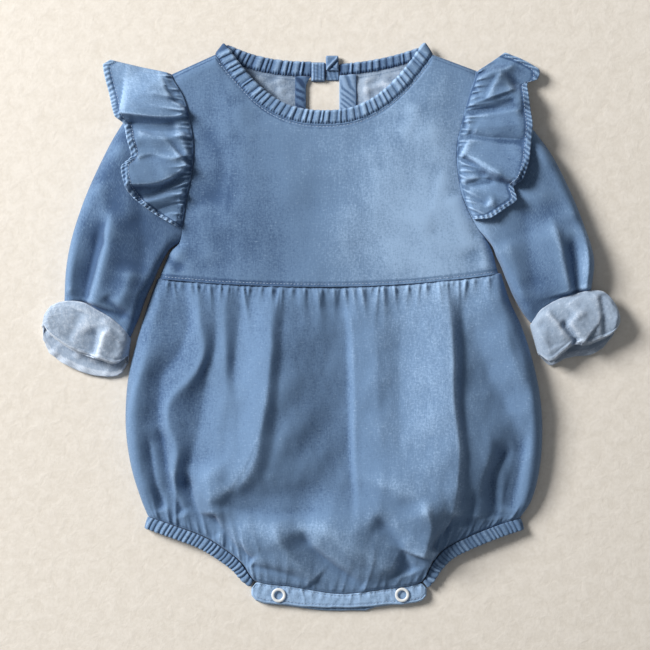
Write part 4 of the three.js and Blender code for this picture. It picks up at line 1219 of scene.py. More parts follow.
            # painted shade: the back's inside, seen through the neck, is darkened, more towards the left
            shaded = 0.0 if front else 0.1 + 0.35 * smooth((24 - x) / 60)
            marks = {"wash_and_painted_light": np.clip(wash_and_painted_light(x, y) - shaded, 0, 1), "worn_and_shaded": np.clip(worn_and_shaded - stitch_groove_shadow, -0.6, 1)}
            wall = Wall(outer, inner, np.stack([x, y], -1), marks)
            name = "bodice_front_cloth" if front else "bodice_back_cloth"
            piece = cloth_object(name, [wall], (self.finishes.right, self.finishes.wrong))
            if not front:
                self._cut_keyhole(piece)
            area = 0.031 if front else 0.0335
            Dressing(
                nodes=("bodice_front" if front else "bodice_back",),
                slot=Slot.CHAMBRAY if front else Slot.WRONG_SIDE,
                flat=(0.256, 0.176),
                area=area,
                held="laid",
                rests_on=("bodice_back",) if front else (),
            ).give(piece)
            panels.append(panel)
        return panels[0], panels[1]

    def _cut_keyhole(self, piece: bpy.types.Object) -> None:
        """Cuts the keyhole into the back."""
        outline = Keyhole().outline(0.0, 0.0, 0.0, 215.0)
        count = len(outline)
        low, high = (np.column_stack([outline, np.full(count, z)]) for z in (-5.0, 20.0))
        ring = [(k, (k + 1) % count, (k + 1) % count + count, k + count) for k in range(count)]
        mesh = bpy.data.meshes.new("keyhole_cutter")
        faces = [tuple(range(count))[::-1], tuple(range(count, 2 * count)), *ring]
        mesh.from_pydata(metres(np.vstack([low, high])).tolist(), [], faces)
        cutter = placed("keyhole_cutter", mesh)
        cut = piece.modifiers.new("keyhole", "BOOLEAN")
        cut.operation, cut.solver, cut.object = "DIFFERENCE", "EXACT", cutter
        settle(piece)
        bpy.data.objects.remove(cutter, do_unlink=True)


def settle(piece: bpy.types.Object) -> None:
    """Turns what a piece's modifiers make into its plain mesh, and takes them off."""
    graph = bpy.context.evaluated_depsgraph_get()
    mesh = bpy.data.meshes.new_from_object(piece.evaluated_get(graph), preserve_all_data_layers=True, depsgraph=graph)
    piece.modifiers.clear()
    piece.data = mesh


# ---------------------------------------------------------------- keyhole and neck


@dataclass(frozen=True)
class Keyhole:
    """The keyhole in the back bodice and its facing."""

    left: float = -19.0
    right: float = 6.0
    bottom: float = 134.0
    facing_left: float = 7.5
    facing_right: float = 12.0
    low: float = SOLID_CLOTH + SEAM_GAP
    thick: float = 1.0
    corner: float = 4.0  # the rounding of the keyhole's upper corner
    off_edge: float = 0.15  # how far the facing's inner edge stands off the keyhole's
    under_frill: float = 0.8  # how far the facing ends below the neckline
    steps: int = 170

    def outline(self, margin_left: float, margin_right: float, margin_low: float, top: float) -> Array:
        """The keyhole's outline, grown by margins.

        Args:
            margin_left: The margin on the left.
            margin_right: The margin on the right.
            margin_low: The margin at the bottom.
            top: Where the outline ends at the top.

        Returns:
            The outline's points in plan, going round.
        """
        left, right = self.left - margin_left, self.right + margin_right
        radius = (right - left) / 2
        angles = np.linspace(math.pi, 2 * math.pi, 25)
        arc = np.column_stack(
            [(left + right) / 2 + radius * np.cos(angles), self.bottom - margin_low + radius * (1 + np.sin(angles))]
        )
        return np.vstack([[left, top], arc, [right, top]])

    def facing(self, finishes: Finishes) -> bpy.types.Object:
        """The facing round the keyhole: a bias strip with the slanting wrinkles that stitching pulls into it."""
        top = float(neckline_y(self.right, False)) - 6
        inner = self.outline(self.off_edge, self.off_edge, self.off_edge, top)
        outer = self.outline(self.facing_left, self.facing_right, self.facing_left, top)
        lengths = [run_along(edge) for edge in (inner, outer)]
        share = np.linspace(0, 1, self.steps)
        inside = np.column_stack([np.interp(share, lengths[0] / lengths[0][-1], inner[:, k]) for k in (0, 1)])
        outside = np.column_stack([np.interp(share, lengths[1] / lengths[1][-1], outer[:, k]) for k in (0, 1)])
        w = crowded(22, 0.6)[:, None]
        plan = inside[None] * (1 - w[..., None]) + outside[None] * w[..., None]
        up = smooth((plan[..., 1] - top + self.corner) / self.corner)
        plan[..., 0] += 0.8 * self.corner * up**2 * (1 - w) * (plan[..., 0] < (self.left + self.right) / 2)
        plan[..., 1] += up * (neckline_y(plan[..., 0], False) - self.under_frill - top)
        run = share[None] * lengths[0][-1]
        wide = np.linalg.norm(outside - inside, axis=1)[None] * w
        wrinkle = 0.8 * np.abs(np.sin(math.pi * (run + 0.6 * wide) / 4.6 + 1.1 * np.sin(run / 5.0))) ** 0.7
        wrinkle = wrinkle * np.sin(math.pi * np.clip(w, 0.02, 0.98)) ** 0.6
        bottom = np.full(plan.shape[:2], self.low)
        height = bottom + self.thick - 0.35 + wrinkle
        upper = np.dstack([plan, height])
        lower = np.dstack([plan, bottom])
        worn_and_shaded = np.clip(1.7 * wear_and_hollow_shade(wrinkle, 5, 0.2) - 0.6 + 0.4 * ridge(w, 0.06), -0.5, 1.2)
        right = smooth((plan[..., 0] - self.left) / (self.right - self.left))
        marks = {"wash_and_painted_light": 0.34 + 0.55 * right, "worn_and_shaded": np.clip(worn_and_shaded + 0.35 * right, -0.5, 1.3)}
        cloth = np.dstack([run + 0 * w, wide])
        piece = cloth_object("keyhole_facing_cloth", [Wall(upper, lower, cloth, marks)], (finishes.dark,))
        dressing = Dressing(("keyhole_facing",), Slot.BINDING, (0.0445, 0.0555), 0.0012, "laid", ("bodice_back",))
        return dressing.give(piece)


@dataclass
class NeckFrill:
    """A folded strip sewn round the neck and gathered into soft, uneven pleats with narrow grooves between."""

    finishes: Finishes
    pleat: float = 4.75
    rise: float = 1.15
    thick: float = 1.7
    slant: float = 0.16
    uneven: float = 0.33  # how far a pleat's edge may stray, as a share of a pleat
    tallest: Point = (0.45, 1.3)  # the lowest and the tallest pleat, as shares of the rise

    def strip(
        self, name: str, ends: Point, front: bool, height: float, lift: Callable[[Array], Array], seed: int
    ) -> Wall:
        """One stretch of the frill.

        Args:
            name: The stretch's name, for the log.
            ends: Its two ends in X.
            front: Whether it is on the front neckline.
            height: How far it stands in from the seam.
            lift: The height of its underside at X.
            seed: The seed of its uneven pleats.

        Returns:
            The wall of cloth.
        """
        start, end = ends
        fine = np.linspace(start, end, 1200)
        line = np.column_stack([fine, neckline_y(fine, front)])
        run = run_along(line)
        count = int(run[-1] / self.pleat)
        s = np.linspace(0, run[-1], count * 14 + 1)
        x = np.interp(s, run, fine)
        step = 0.4
        climb = neckline_y(x + step, front) - neckline_y(x - step, front)
        tangent = unit(np.stack([np.full(x.shape, 2 * step), climb], -1))
        inward = np.stack([-tangent[:, 1], tangent[:, 0]], -1)
        rng = np.random.default_rng(seed)
        stray = np.concatenate([[0], rng.uniform(-self.uneven, self.uneven, count - 1), [0]])
        knots = (np.arange(count + 1) + stray) * run[-1] / count
        tall = rng.uniform(*self.tallest, count + 2)
        q = np.concatenate([[0.0, 0.35, 0.9], np.linspace(1.8, height - 1.4, 12), [height - 0.8, height - 0.3, height]])
        q = q / height
        S, Q = np.meshgrid(s, q)
        phase = np.interp(S - self.slant * (Q * height - 2.0), knots, np.arange(count + 1))
        part = phase - np.floor(phase)
        which = np.clip(np.floor(phase).astype(int), 0, count)
        size = tall[which]
        saw = np.sin(math.pi * np.clip(part, 0, 1) ** 1.25) ** 0.6
        fold = self.rise * size * saw * (0.35 + 0.65 * smooth(Q / 0.25))
        ripple = 0.25 * np.sin(3.1 * S + 2.0 * np.sin(S / 7.0)) * ridge(Q, 0.18)
        ditch = -0.5 * ridge(Q * height, 0.9)
        over = smooth((1 - Q) * height / 1.2)
        scallop = 0.55 * (saw - 0.5) * size * smooth((Q - 0.7) / 0.3)
        outward = CURVED_SEAM_GAP - 0.25 + Q * (height - CURVED_SEAM_GAP) + scallop
        low = lift(x)[None]
        X = x[None] + inward[:, 0][None] * outward
        Y = neckline_y(x, front)[None] + inward[:, 1][None] * outward
        top_z = low + 0.5 + (self.thick - 0.5) * quarter_round((1 - Q) * height / 1.6) + (fold + ripple) * over + ditch
        bottom_z = np.broadcast_to(low + 0.05 + 0.35 * (1 - over), X.shape)
        upper = np.dstack([X, Y, np.maximum(top_z, bottom_z + 0.35)])
        lower = np.dstack([X, Y, bottom_z])
        # pale pleat crests are wear; the darker grooves between the pleats and the ditch at the seam are painted shade
        shade = -0.35 + 1.3 * saw * (0.5 + 0.5 * size) - 0.6 * ridge(Q * height, 1.1)
        shade = shade + 0.2 * smooth((Q - 0.75) / 0.2)
        marks = {"wash_and_painted_light": wash_and_painted_light(X, Y) * 0.6 + 0.2, "worn_and_shaded": np.clip(shade, -0.7, 1.2)}
        log.info("%s: %d pleats", name, count)
        return Wall(upper, lower, np.dstack([S, Q * height]), marks, rim=0.55)

    def build(self) -> None:
        """Builds the front stretch and the two at the back."""

        def front_lift(x: Array) -> Array:
            """The height that the front stretch lies at."""
            return mix(4.7, 7.9, quarter_round(np.minimum(x - NECK_LEFT, NECK_RIGHT - x) / 30.0))

        front = self.strip("front frill", (NECK_LEFT, NECK_RIGHT), True, 10.4, front_lift, 7)
        piece = cloth_object("neck_frill_front_cloth", [front], (self.finishes.right,))
        flat = (0.235, 0.0104)
        Dressing(("neck_frill_front",), Slot.CHAMBRAY, flat, 0.0024, "gathered", ("bodice_front",)).give(piece)
        flat_lift = np.zeros_like
        stretches = (
            ("left", (NECK_LEFT + 4, -15.3), 10.8, 13, (0.08, 0.0108), 0.00086),
            ("right", (6.9, NECK_RIGHT - 4), 8.4, 17, (0.075, 0.0101), 0.00069),
        )
        for side, ends, height, seed, flat, area in stretches:
            wall = self.strip(f"back frill {side}", ends, False, height, flat_lift, seed)
            piece = cloth_object(f"neck_frill_back_{side}_cloth", [wall], (self.finishes.dark,))
            node = f"neck_frill_back_{side}"
            Dressing((node,), Slot.BINDING, flat, area, "gathered", ("bodice_back",)).give(piece)


@dataclass
class Closure:
    """The tab that wraps the neckband's end, the end that reaches under it, and the loop folded over both."""

    finishes: Finishes
    tab: tuple[float, float, float, float] = (-15.0, -4.5, 181.2, 195.5)  # left, right, low and high
    underlap: tuple[float, float, float, float] = (-4.2, 5.7, 182.0, 194.0)
    loop: tuple[float, float, float, float] = (-4.2, 5.2, 189.0, 200.3)
    tab_thick: float = 3.0
    tab_ribs: tuple[float, ...] = (-13.6, -11.2, -8.2, -5.9)
    underlap_thick: float = 1.4
    loop_low: float = 1.9
    loop_thick: float = 1.7
    corner: float = 1.5

    def _pad(self, left: float, right: float, low: float, high: float) -> tuple[Array, Array]:
        """A soft rectangle's grid of points in plan and how far it has come in from its edge."""
        u, v = np.meshgrid(crowded(28), crowded(32))
        corner = self.corner
        x, y = mix(left, right, u), mix(low, high, v)
        cx, cy = np.clip(x, left + corner, right - corner), np.clip(y, low + corner, high - corner)
        reach = np.hypot(x - cx, y - cy)
        pull = np.where(reach > corner, corner / np.maximum(reach, 1e-9), 1.0)
        x, y = cx + (x - cx) * pull, cy + (y - cy) * pull
        return np.dstack([x, y]), np.minimum(np.minimum(u, 1 - u) * (right - left), np.minimum(v, 1 - v) * (high - low))

    def _piece(self, name: str, plan: Array, top: Array, low: float, node: str, flat: Point, area: float) -> None:
        """Makes one of the closure's pieces from its plan and its upper surface."""
        upper = np.dstack([plan, top])
        lower = np.dstack([plan, np.full(top.shape, low)])
        worn_and_shaded = np.clip(1.6 * wear_and_hollow_shade(top, 6, 0.3) - 0.25, -0.3, 1.2)
        marks = {"wash_and_painted_light": np.full(top.shape, 0.62), "worn_and_shaded": worn_and_shaded}
        piece = cloth_object(name, [Wall(upper, lower, plan, marks)], (self.finishes.dark,))
        Dressing((node,), Slot.BINDING, flat, area, "folded", ("bodice_back",)).give(piece)

    def build(self) -> None:
        """Builds the three pieces."""
        plan, inset = self._pad(*self.tab)
        x, y = plan[..., 0], plan[..., 1]
        top = self.tab_thick * quarter_round(inset / 1.7) + 0.2
        ribs = sum(0.32 * ridge(x - at, 0.55) for at in self.tab_ribs)
        top = top + (ribs + 0.12 * np.sin(y * 2.4 + x)) * smooth(inset / 1.5)
        self._piece("closure_tab_cloth", plan, top, 0.0, "closure_tab", (0.0165, 0.0143), 0.00021)
        plan, inset = self._pad(*self.underlap)
        x, y = plan[..., 0], plan[..., 1]
        top = self.underlap_thick * quarter_round(inset / 1.0) + 0.1 + 0.12 * np.sin(x * 1.9 + 0.6 * y)
        self._piece("closure_underlap_cloth", plan, top, 0.0, "closure_underlap", (0.0125, 0.0105), 0.000125)
        plan, inset = self._pad(*self.loop)
        x, y = plan[..., 0], plan[..., 1]
        diagonal = (x - 0.5) * 0.72 - (y - 194.6) * 0.70
        fold = 0.9 * ridge(diagonal, 1.1) - 0.7 * ridge(diagonal - 1.8, 0.8)
        other = (x - 0.5) * 0.5 + (y - 193.0) * 0.87
        fold = fold - 0.6 * ridge(other + 1.2, 0.7) * smooth((x + 1) / 2)
        top = self.loop_low + self.loop_thick * quarter_round(inset / 1.5) + fold * smooth(inset / 1.2)
        self._piece("closure_loop_cloth", plan, top, self.loop_low, "closure_loop", (0.0118, 0.0101), 0.000113)


# ---------------------------------------------------------------- skirt

def line(*rows: tuple[float, float, float]) -> Table:
    """A crest or hollow that runs down the skirt: Y, X and its height over the cloth's own form, from the hem up."""
    return Table("y x high", rows)


SKIRT_LINES: dict[str, Table] = {
    "left edge": line((-140, -143, 0), (-90, -153, 0), (-54, -151, 0), (0, -138, 0), (30, -131, 0)),
    "hip crest": line((-140, -138, 0.5), (-90, -147, 2), (-54, -145, 3), (-17, -134, 1.5), (30, -127, 0)),
    "hip crease": line(
        (-160, -118, -1), (-109, -123, -2.5), (-90, -123, -3), (-72, -127, -4), (-54, -127, -4), (-35, -124, -3.5),
        (-17, -112, -3), (1, -106, -2.5), (30, -108, -1.5),
    ),
    "hip fold": line(
        (-160, -104, 1), (-127, -114, 0.5), (-109, -116, 0.5), (-90, -113, 0.5), (-72, -119, 0.5), (-54, -118, 1),
        (-35, -100, 2), (-17, -93, 2), (1, -96, 2), (30, -99, 1),
    ),
    "left hollow": line(
        (-160, -92, -3), (-127, -104, -4), (-109, -107, -4), (-90, -102, -4.5), (-72, -97, -5), (-54, -95, -5),
        (-35, -92, -3), (-17, -86, -2), (1, -85, -1), (30, -88, 0),
    ),
    "small crest": line(
        (-160, -82, -1), (-127, -96, 0), (-109, -93, 0.5),
        (-90, -80, -1), (-54, -77, -0.5), (30, -79, 0.5),
    ),
    "small hollow": line(
        (-160, -72, 0), (-127, -89, 1.5), (-109, -80, 2), (-90, -70, 1), (-54, -70, 0.2), (-35, -71, -2.2),
        (-17, -70, -3), (1, -68, -3), (30, -66, -1),
    ),
    "sweeping crest": line(
        (-160, -58, 0), (-127, -80, 3), (-109, -62, 5.5), (-90, -54, 6.5), (-54, -48, 6.5), (-17, -44, 5), (1, -44, 4),
        (30, -42, 1),
    ),
    "foot of the sweep": line(
        (-160, -42, 0), (-127, -62, 0), (-109, -49, 1.5),
        (-90, -43, 2), (-54, -39, 2), (30, -33, 0),
    ),
    "middle hollow": line(
        (-160, 8, -1), (-135, 15, -6), (-90, 12.5, -8.5),
        (-54, 12, -8.5), (-17, 11, -7.5), (30, 9, -2),
    ),
    "middle lip": line((-160, 14, -1), (-135, 20, -4.5), (-90, 17, -5), (-54, 17, -5), (-17, 16, -4), (30, 14, 0)),
    "right shoulder": line((-160, 30, 0), (-120, 38, -2), (-90, 38, -2), (-54, 34, -2.5), (-17, 33, -1.5), (30, 30, 0)),
    "right dip": line((-160, 45, -1), (-120, 52, 0), (-90, 50, -1.5), (-54, 50, -4), (-17, 50, -3.5), (30, 52, -1)),
    "high crest": line((-160, 88, 2), (-127, 89, 5), (-90, 92, 6), (-54, 88.5, 6), (-17, 88, 5), (30, 84, 1.5)),
    "foot of the crest": line(
        (-160, 96, -1), (-127, 98, -0.5), (-90, 99, 1.5),
        (-54, 95, 0), (-17, 97, -2.5), (30, 95, -0.5),
    ),
    "side hollow": line(
        (-160, 118, -3), (-90, 137, -4), (-72, 133, -3.5), (-54, 126, -4.5), (-35, 116, -4.5), (-17, 110, -3.5),
        (1, 104, -2), (30, 102, 0),
    ),
    "side crest": line((-160, 128, 0), (-90, 146, -1), (-54, 147, 1), (-35, 138, 2), (-17, 131, 2), (30, 122, 1)),
    "right edge": line((-140, 146, 0), (-90, 157, 0), (-54, 155, 0), (0, 139, 0), (30, 127, 0)),
}


def skirt_relief(x: Array, y: Array) -> Array:
    """The skirt's long crests and hollows.

    Args:
        x: The places' X, over a grid.
        y: The places' Y.

    Returns:
        The heights, in the shape of x.
    """
    out = np.zeros(x.shape)
    lines = [(row.smooth("y", y, "x"), row.smooth("y", y, "high")) for row in SKIRT_LINES.values()]
    for (x0, high0), (x1, high1) in zip(lines[:-1], lines[1:]):
        share = np.clip((x - x0) / np.maximum(x1 - x0, 0.5), 0.0, 1.0)
        between = (x >= x0) & (x < x1)
        out[between] = mix(high0, high1, mix(share, smooth(share), 0.5))[between]
    return 1.25 * soften(out, 3) * smooth((y + 152) / 36)


SKIRT_FOLDS: tuple[Fold, ...] = (
    # Creases that run in to the left leg
    Fold(((-127, -70), (-123, -96), (-118, -120), (-109, -140)), -3.6, 6, 2.8, 1.2, 0.2, 0.06),
    Fold(((-136, -74), (-131, -112), (-124, -136)), -3.0, 5, 2.4, 1.2, 0.3, 0.06),
    Fold(((-74, -100), (-88, -107), (-88, -122), (-83, -146)), 3.0, 5, 12, 1.3, 0.3, 0.2),
    Fold(((-107, -104), (-104, -122), (-98, -142), (-86, -158)), -4.4, 9, 4, 1.2, 0.25, 0.06),
    Fold(((-88, -134), (-84, -148), (-72, -162), (-58, -174)), -4.2, 8, 3.4, 1.2, 0.15, 0.06),
    # The hollow under the sweeping fold, and the shelf below it
    Fold(((-88, -122), (-72, -132), (-40, -136), (4, -133)), -4.5, 8, 22, 1.3, 0.15, 0.3),
    Fold(((-78, -150), (-56, -146), (-24, -148)), 2.4, 12, 12, 1.6, 0.3, 0.3),
    # Across the lower front, towards the legs and the crotch
    Fold(((14, -108), (40, -115), (66, -126), (90, -148)), 4.0, 10, 18, 1.25, 0.3, 0.1),
    Fold(((-46, -140), (-34, -162), (-12, -188)), 4.0, 14, 6, 1.25, 0.3, 0.06),
    Fold(((-24, -146), (-14, -164), (8, -182), (24, -194)), -5.4, 9, 4, 1.2, 0.2, 0.06),
    Fold(((-20, -138), (12, -159), (50, -180)), 4.2, 12, 14, 1.25, 0.25, 0.1),
    Fold(((30, -136), (48, -158), (58, -182)), -4.4, 11, 5, 1.2, 0.25, 0.06),
    Fold(((64, -124), (72, -146), (66, -170)), 4.4, 12, 4, 1.2, 0.25, 0.06),
    Fold(((90, -134), (87, -147), (77, -165)), -4.0, 6, 3, 1.2, 0.2, 0.06),
    Fold(((-62, -176), (-40, -180), (-16, -187)), -2.2, 2.4, 2.4, start=0.1, end=0.3),
    # Creases that run in to the right leg
    Fold(((134, -86), (124, -100), (119, -114), (122, -142)), -4.2, 7, 4, 1.2, 0.2, 0.06),
    Fold(((113, -70), (116, -92), (110, -114), (106, -144)), 2.6, 8, 6, 1.3, 0.4, 0.08),
    Fold(((143, -74), (139, -104), (132, -136)), -2.8, 4, 3, 1.2, 0.3, 0.06),
    Fold(((104, -116), (103, -132), (100, -148)), -2.4, 5, 4, 1.2, 0.3, 0.06),
)


@dataclass
class Skirt:
    """The skirt's front and back: gathered at the waist, full at the hips and drawn in at the legs."""

    finishes: Finishes
    across: int = 330
    along: int = 138
    side_steps: int = 19
    side_share: float = 0.05
    lowest: float = 3.4  # the front's outer face keeps this far above the table, over the back

    def panel(self, front: bool) -> Panel:
        """The map of one of the two sides."""

        def place(u: Array, v: Array) -> Array:
            """Where the cloth lies."""
            x, y = skirt_plan(u, v)
            from_side = np.minimum(x - skirt_plan(0.0 * u, v)[0], skirt_plan(0.0 * u + 1.0, v)[0] - x)
            turned = quarter_round(from_side / EDGE_ROUND)
            if not front:
                return np.stack([x, y, (SEAM_HEIGHT - SEAM_GAP / 2) * (1 - turned)], -1)
            edge, middle = (SKIRT_HEIGHTS.smooth("down", v, name) for name in ("edge", "middle"))
            dome = 1 - np.abs(2 * u - 1) ** 2.4
            foot = SEAM_HEIGHT + SEAM_GAP / 2
            return np.stack([x, y, foot + (edge - foot + (middle - edge) * dome) * turned], -1)

        def square(facing: Array, u: Array, v: Array) -> Array:
            """Rims stand square to their seams."""
            out = facing.copy()
            out[(v == 0) | (v == 1), 1] = 0.0
            side = (u == 0) | (u == 1)
            out[side] = np.stack([np.where(u == 0, -1.0, 1.0), 0 * u, 0 * u], -1)[side]
            return out

        return Panel(place, -1.0 if front else 1.0, self._front_folds if front else self._back_folds, square)

    @staticmethod
    def _from_leg(y: Array, u: Array) -> tuple[Array, Array]:
        """How far along a leg seam, and how far above it, places of the skirt lie."""
        hem_x = mix(SKIRT_HEM.rows[0][0], SKIRT_HEM.rows[-1][0], u)
        fine = np.linspace(SKIRT_HEM.rows[0][0], SKIRT_HEM.rows[-1][0], 800)
        run = np.concatenate([[0], np.cumsum(np.hypot(np.diff(fine), np.diff(SKIRT_HEM.smooth("x", fine, "y"))))])
        return np.interp(hem_x, fine, run), np.maximum(y - SKIRT_HEM.smooth("x", hem_x, "y"), 0)

    def _front_folds(self, u: Array, v: Array, base: Array) -> Array:
        """The front's long folds, the gathers at its waist and legs, and its crumpling."""
        x, y = base[..., 0], base[..., 1]
        down = np.maximum(waist_y(x) - y, 0)
        run, up = self._from_leg(y, u)
        side = smooth(np.minimum(u, 1 - u) / 0.035)
        long_folds = fold_heights(SKIRT_FOLDS, x, y) + skirt_relief(x, y)
        long_folds = long_folds * quarter_round(np.minimum(u, 1 - u) / 0.05)
        long_folds = long_folds * (0.25 + 0.75 * smooth(down / 16)) * (0.3 + 0.7 * smooth(up / 18))
        gathers = (
            Gathers(
                seed=3, length=256, pitch=7.6, rise=2.4, wide=1.7, short=6, long=30, spread=0.07, slant=0.16,
            ).heights(x + 130, down)
            + Gathers(
                seed=23, length=256, pitch=4.3, rise=1.5, wide=1.0, short=3, long=12, spread=0.07, slant=0.25,
            ).heights(x + 130, down)
        ) * (0.25 + 0.75 * smooth(down / 4))
        ditch = -1.1 * ridge(down, 1.6)
        legs = np.where((x < CROTCH_LEFT + 4) | (x > CROTCH_RIGHT - 4), 1.0, 0.35)
        leg_gathers = (
            Gathers(
                seed=31, length=380, pitch=6.4, rise=1.9, wide=1.7, short=8, long=40, spread=0.04, slant=0.25,
            ).heights(run, up)
            + Gathers(
                seed=37, length=380, pitch=3.9, rise=1.0, wide=1.0, short=3, long=10, spread=0.05, slant=0.2,
            ).heights(run, up)
        ) * legs * (0.35 + 0.65 * smooth(up / 3))
        leg_ditch = -0.8 * ridge(up, 1.3)
        crumple = Crumple(6, 34, 0.4).heights(x, y) + Crumple(8, 9, 0.08).heights(x, y)
        crumple = crumple * smooth(down / 20) * smooth(up / 16)
        rise = long_folds + (gathers + leg_gathers + ditch + leg_ditch + crumple) * side
        return settled(base[..., 2] + rise, self.lowest, 2.5) - base[..., 2]

    def _back_folds(self, u: Array, v: Array, base: Array) -> Array:
        """The back lies flat, with pressed gathers that lift off the table a little."""
        x, y = base[..., 0], base[..., 1]
        down = np.maximum(waist_y(x) - y, 0)
        run, up = self._from_leg(y, u)
        gathers = Gathers(
            seed=51, length=256, pitch=8.0, rise=0.8, wide=1.8, short=14, long=50, spread=0.03, slant=0.1,
        ).heights(x + 130, down)
        gathers = gathers + Gathers(
            seed=53, length=380, pitch=7.0, rise=0.7, wide=1.8, short=8, long=30, spread=0.04, slant=0.2,
        ).heights(run, up)
        creases = fold_heights(
            (
                Fold(((-60, 24), (-70, -40), (-96, -100)), -1.0, 8, 12, 1.8),
                Fold(((20, 24), (14, -50), (20, -120)), -1.0, 10, 8, 1.8),
                Fold(((86, 28), (98, -40), (92, -130)), -1.0, 12, 8, 1.8),
            ),
            x,
            y,
        )
        lifted = np.minimum(-np.abs(gathers) + creases - 0.05, 0.0)
        return np.maximum(lifted, -1.6) * quarter_round(np.minimum(u, 1 - u) / 0.08)

    def build(self) -> tuple[Panel, Panel]:
        """Builds both sides and gives their maps, front first."""
        # Closer together towards the sides, and from there on as far apart as in the middle
        edge = np.linspace(0, 1, self.side_steps + 1)[:-1]
        edge = self.side_share * mix(edge**1.74, edge, 0.22)
        middle = np.linspace(self.side_share, 1 - self.side_share, self.across - 2 * self.side_steps)
        us = np.concatenate([edge, middle, 1 - edge[::-1]])
        vs = mix(crowded(self.along, 0.8), np.linspace(0, 1, self.along), 0.2)
        u, v = np.meshgrid(us, vs)
        panels = []
        for front in (True, False):
            panel = self.panel(front)
            if not front:
                u, v = np.meshgrid(us[::2] if len(us) % 2 else np.append(us[:-1:2], us[-1]), vs[::2])
                v[-1] = 1.0
            outer, inner, rise = panel.layers(u, v)
            x, y = outer[..., 0], outer[..., 1]
            marks = {"wash_and_painted_light": wash_and_painted_light(x, y), "worn_and_shaded": wear_and_hollow_shade(rise, 16, 1.1)}
            name = "skirt_front_cloth" if front else "skirt_back_cloth"
            piece = cloth_object(
                name, [Wall(outer, inner, np.stack([x, y], -1), marks)], (self.finishes.right, self.finishes.wrong)
            )
            Dressing(
                nodes=("skirt_front" if front else "skirt_back",),
                slot=Slot.CHAMBRAY if front else Slot.WRONG_SIDE,
                flat=(0.36, 0.235) if front else (0.36, 0.232),
                area=0.072 if front else 0.066,
                held="gathered",
                rests_on=("skirt_back",) if front else (),
            ).give(piece)
            panels.append(panel)
        return panels[0], panels[1]


# ---------------------------------------------------------------- sleeves and cuffs


@dataclass(frozen=True)
class FlatTube:
    """A flattened tube of cloth: stations along it, each a ring over the top and back underneath."""

    plan: Callable[[Array, Array, bool], tuple[Array, Array]]
    top: Callable[[Array, Array], Array]
    bottom: Callable[[Array, Array], Array]
    raised: Callable[[Array, Array, Array, Array], Array]
    lowered: Callable[[Array, Array, Array, Array], Array]
    wall: float
    inset: float = 0.0

    def grid(self, across: Array, stations: Array) -> tuple[Wall, Array]:
        """Samples the tube.

        Args:
            across: Shares from one edge to the other.
            stations: Shares along the tube.

        Returns:
            The wall, still without marks, and the height of its folds.
        """
        w, t = np.meshgrid(across, stations)
        x, y = self.plan(w, t, True)
        rise = self.raised(x, y, w, t)
        over = np.dstack([x, y, self.top(w, t) + rise])
        wu, tu = w[:, -2:0:-1], t[:, -2:0:-1]
        xu, yu = self.plan(wu, tu, False)
        sink = self.lowered(xu, yu, wu, tu)
        under = np.dstack([xu, yu, self.bottom(wu, tu) + sink])
        ring = np.concatenate([over, under], 1)
        chord = ring[:, len(across) - 1] - ring[:, 0]
        chord[:, 2] = 0.0
        chord = unit(chord)[:, None]
        along = np.roll(ring, -1, 1) - np.roll(ring, 1, 1)
        run = np.hypot(along[..., 0], along[..., 1]) * np.sign((along * chord).sum(-1))
        facing = unit(np.array([0.0, 0.0, 1.0]) * run[..., None] - chord * along[..., 2:3])
        ring = ring - facing * self.inset
        steps = np.linalg.norm(np.diff(np.concatenate([ring, ring[:, :1]], 1), axis=1), axis=-1)
        girth = np.concatenate([np.zeros((len(stations), 1)), np.cumsum(steps, 1)], 1)
        middle = ring[:, len(across) // 2]
        length = run_along(middle)
        cloth = np.dstack([girth, np.broadcast_to(length[:, None], girth.shape)])
        heights = np.concatenate([rise, sink], 1)
        return Wall(ring, ring - facing * self.wall, cloth, {}, ring=True), heights


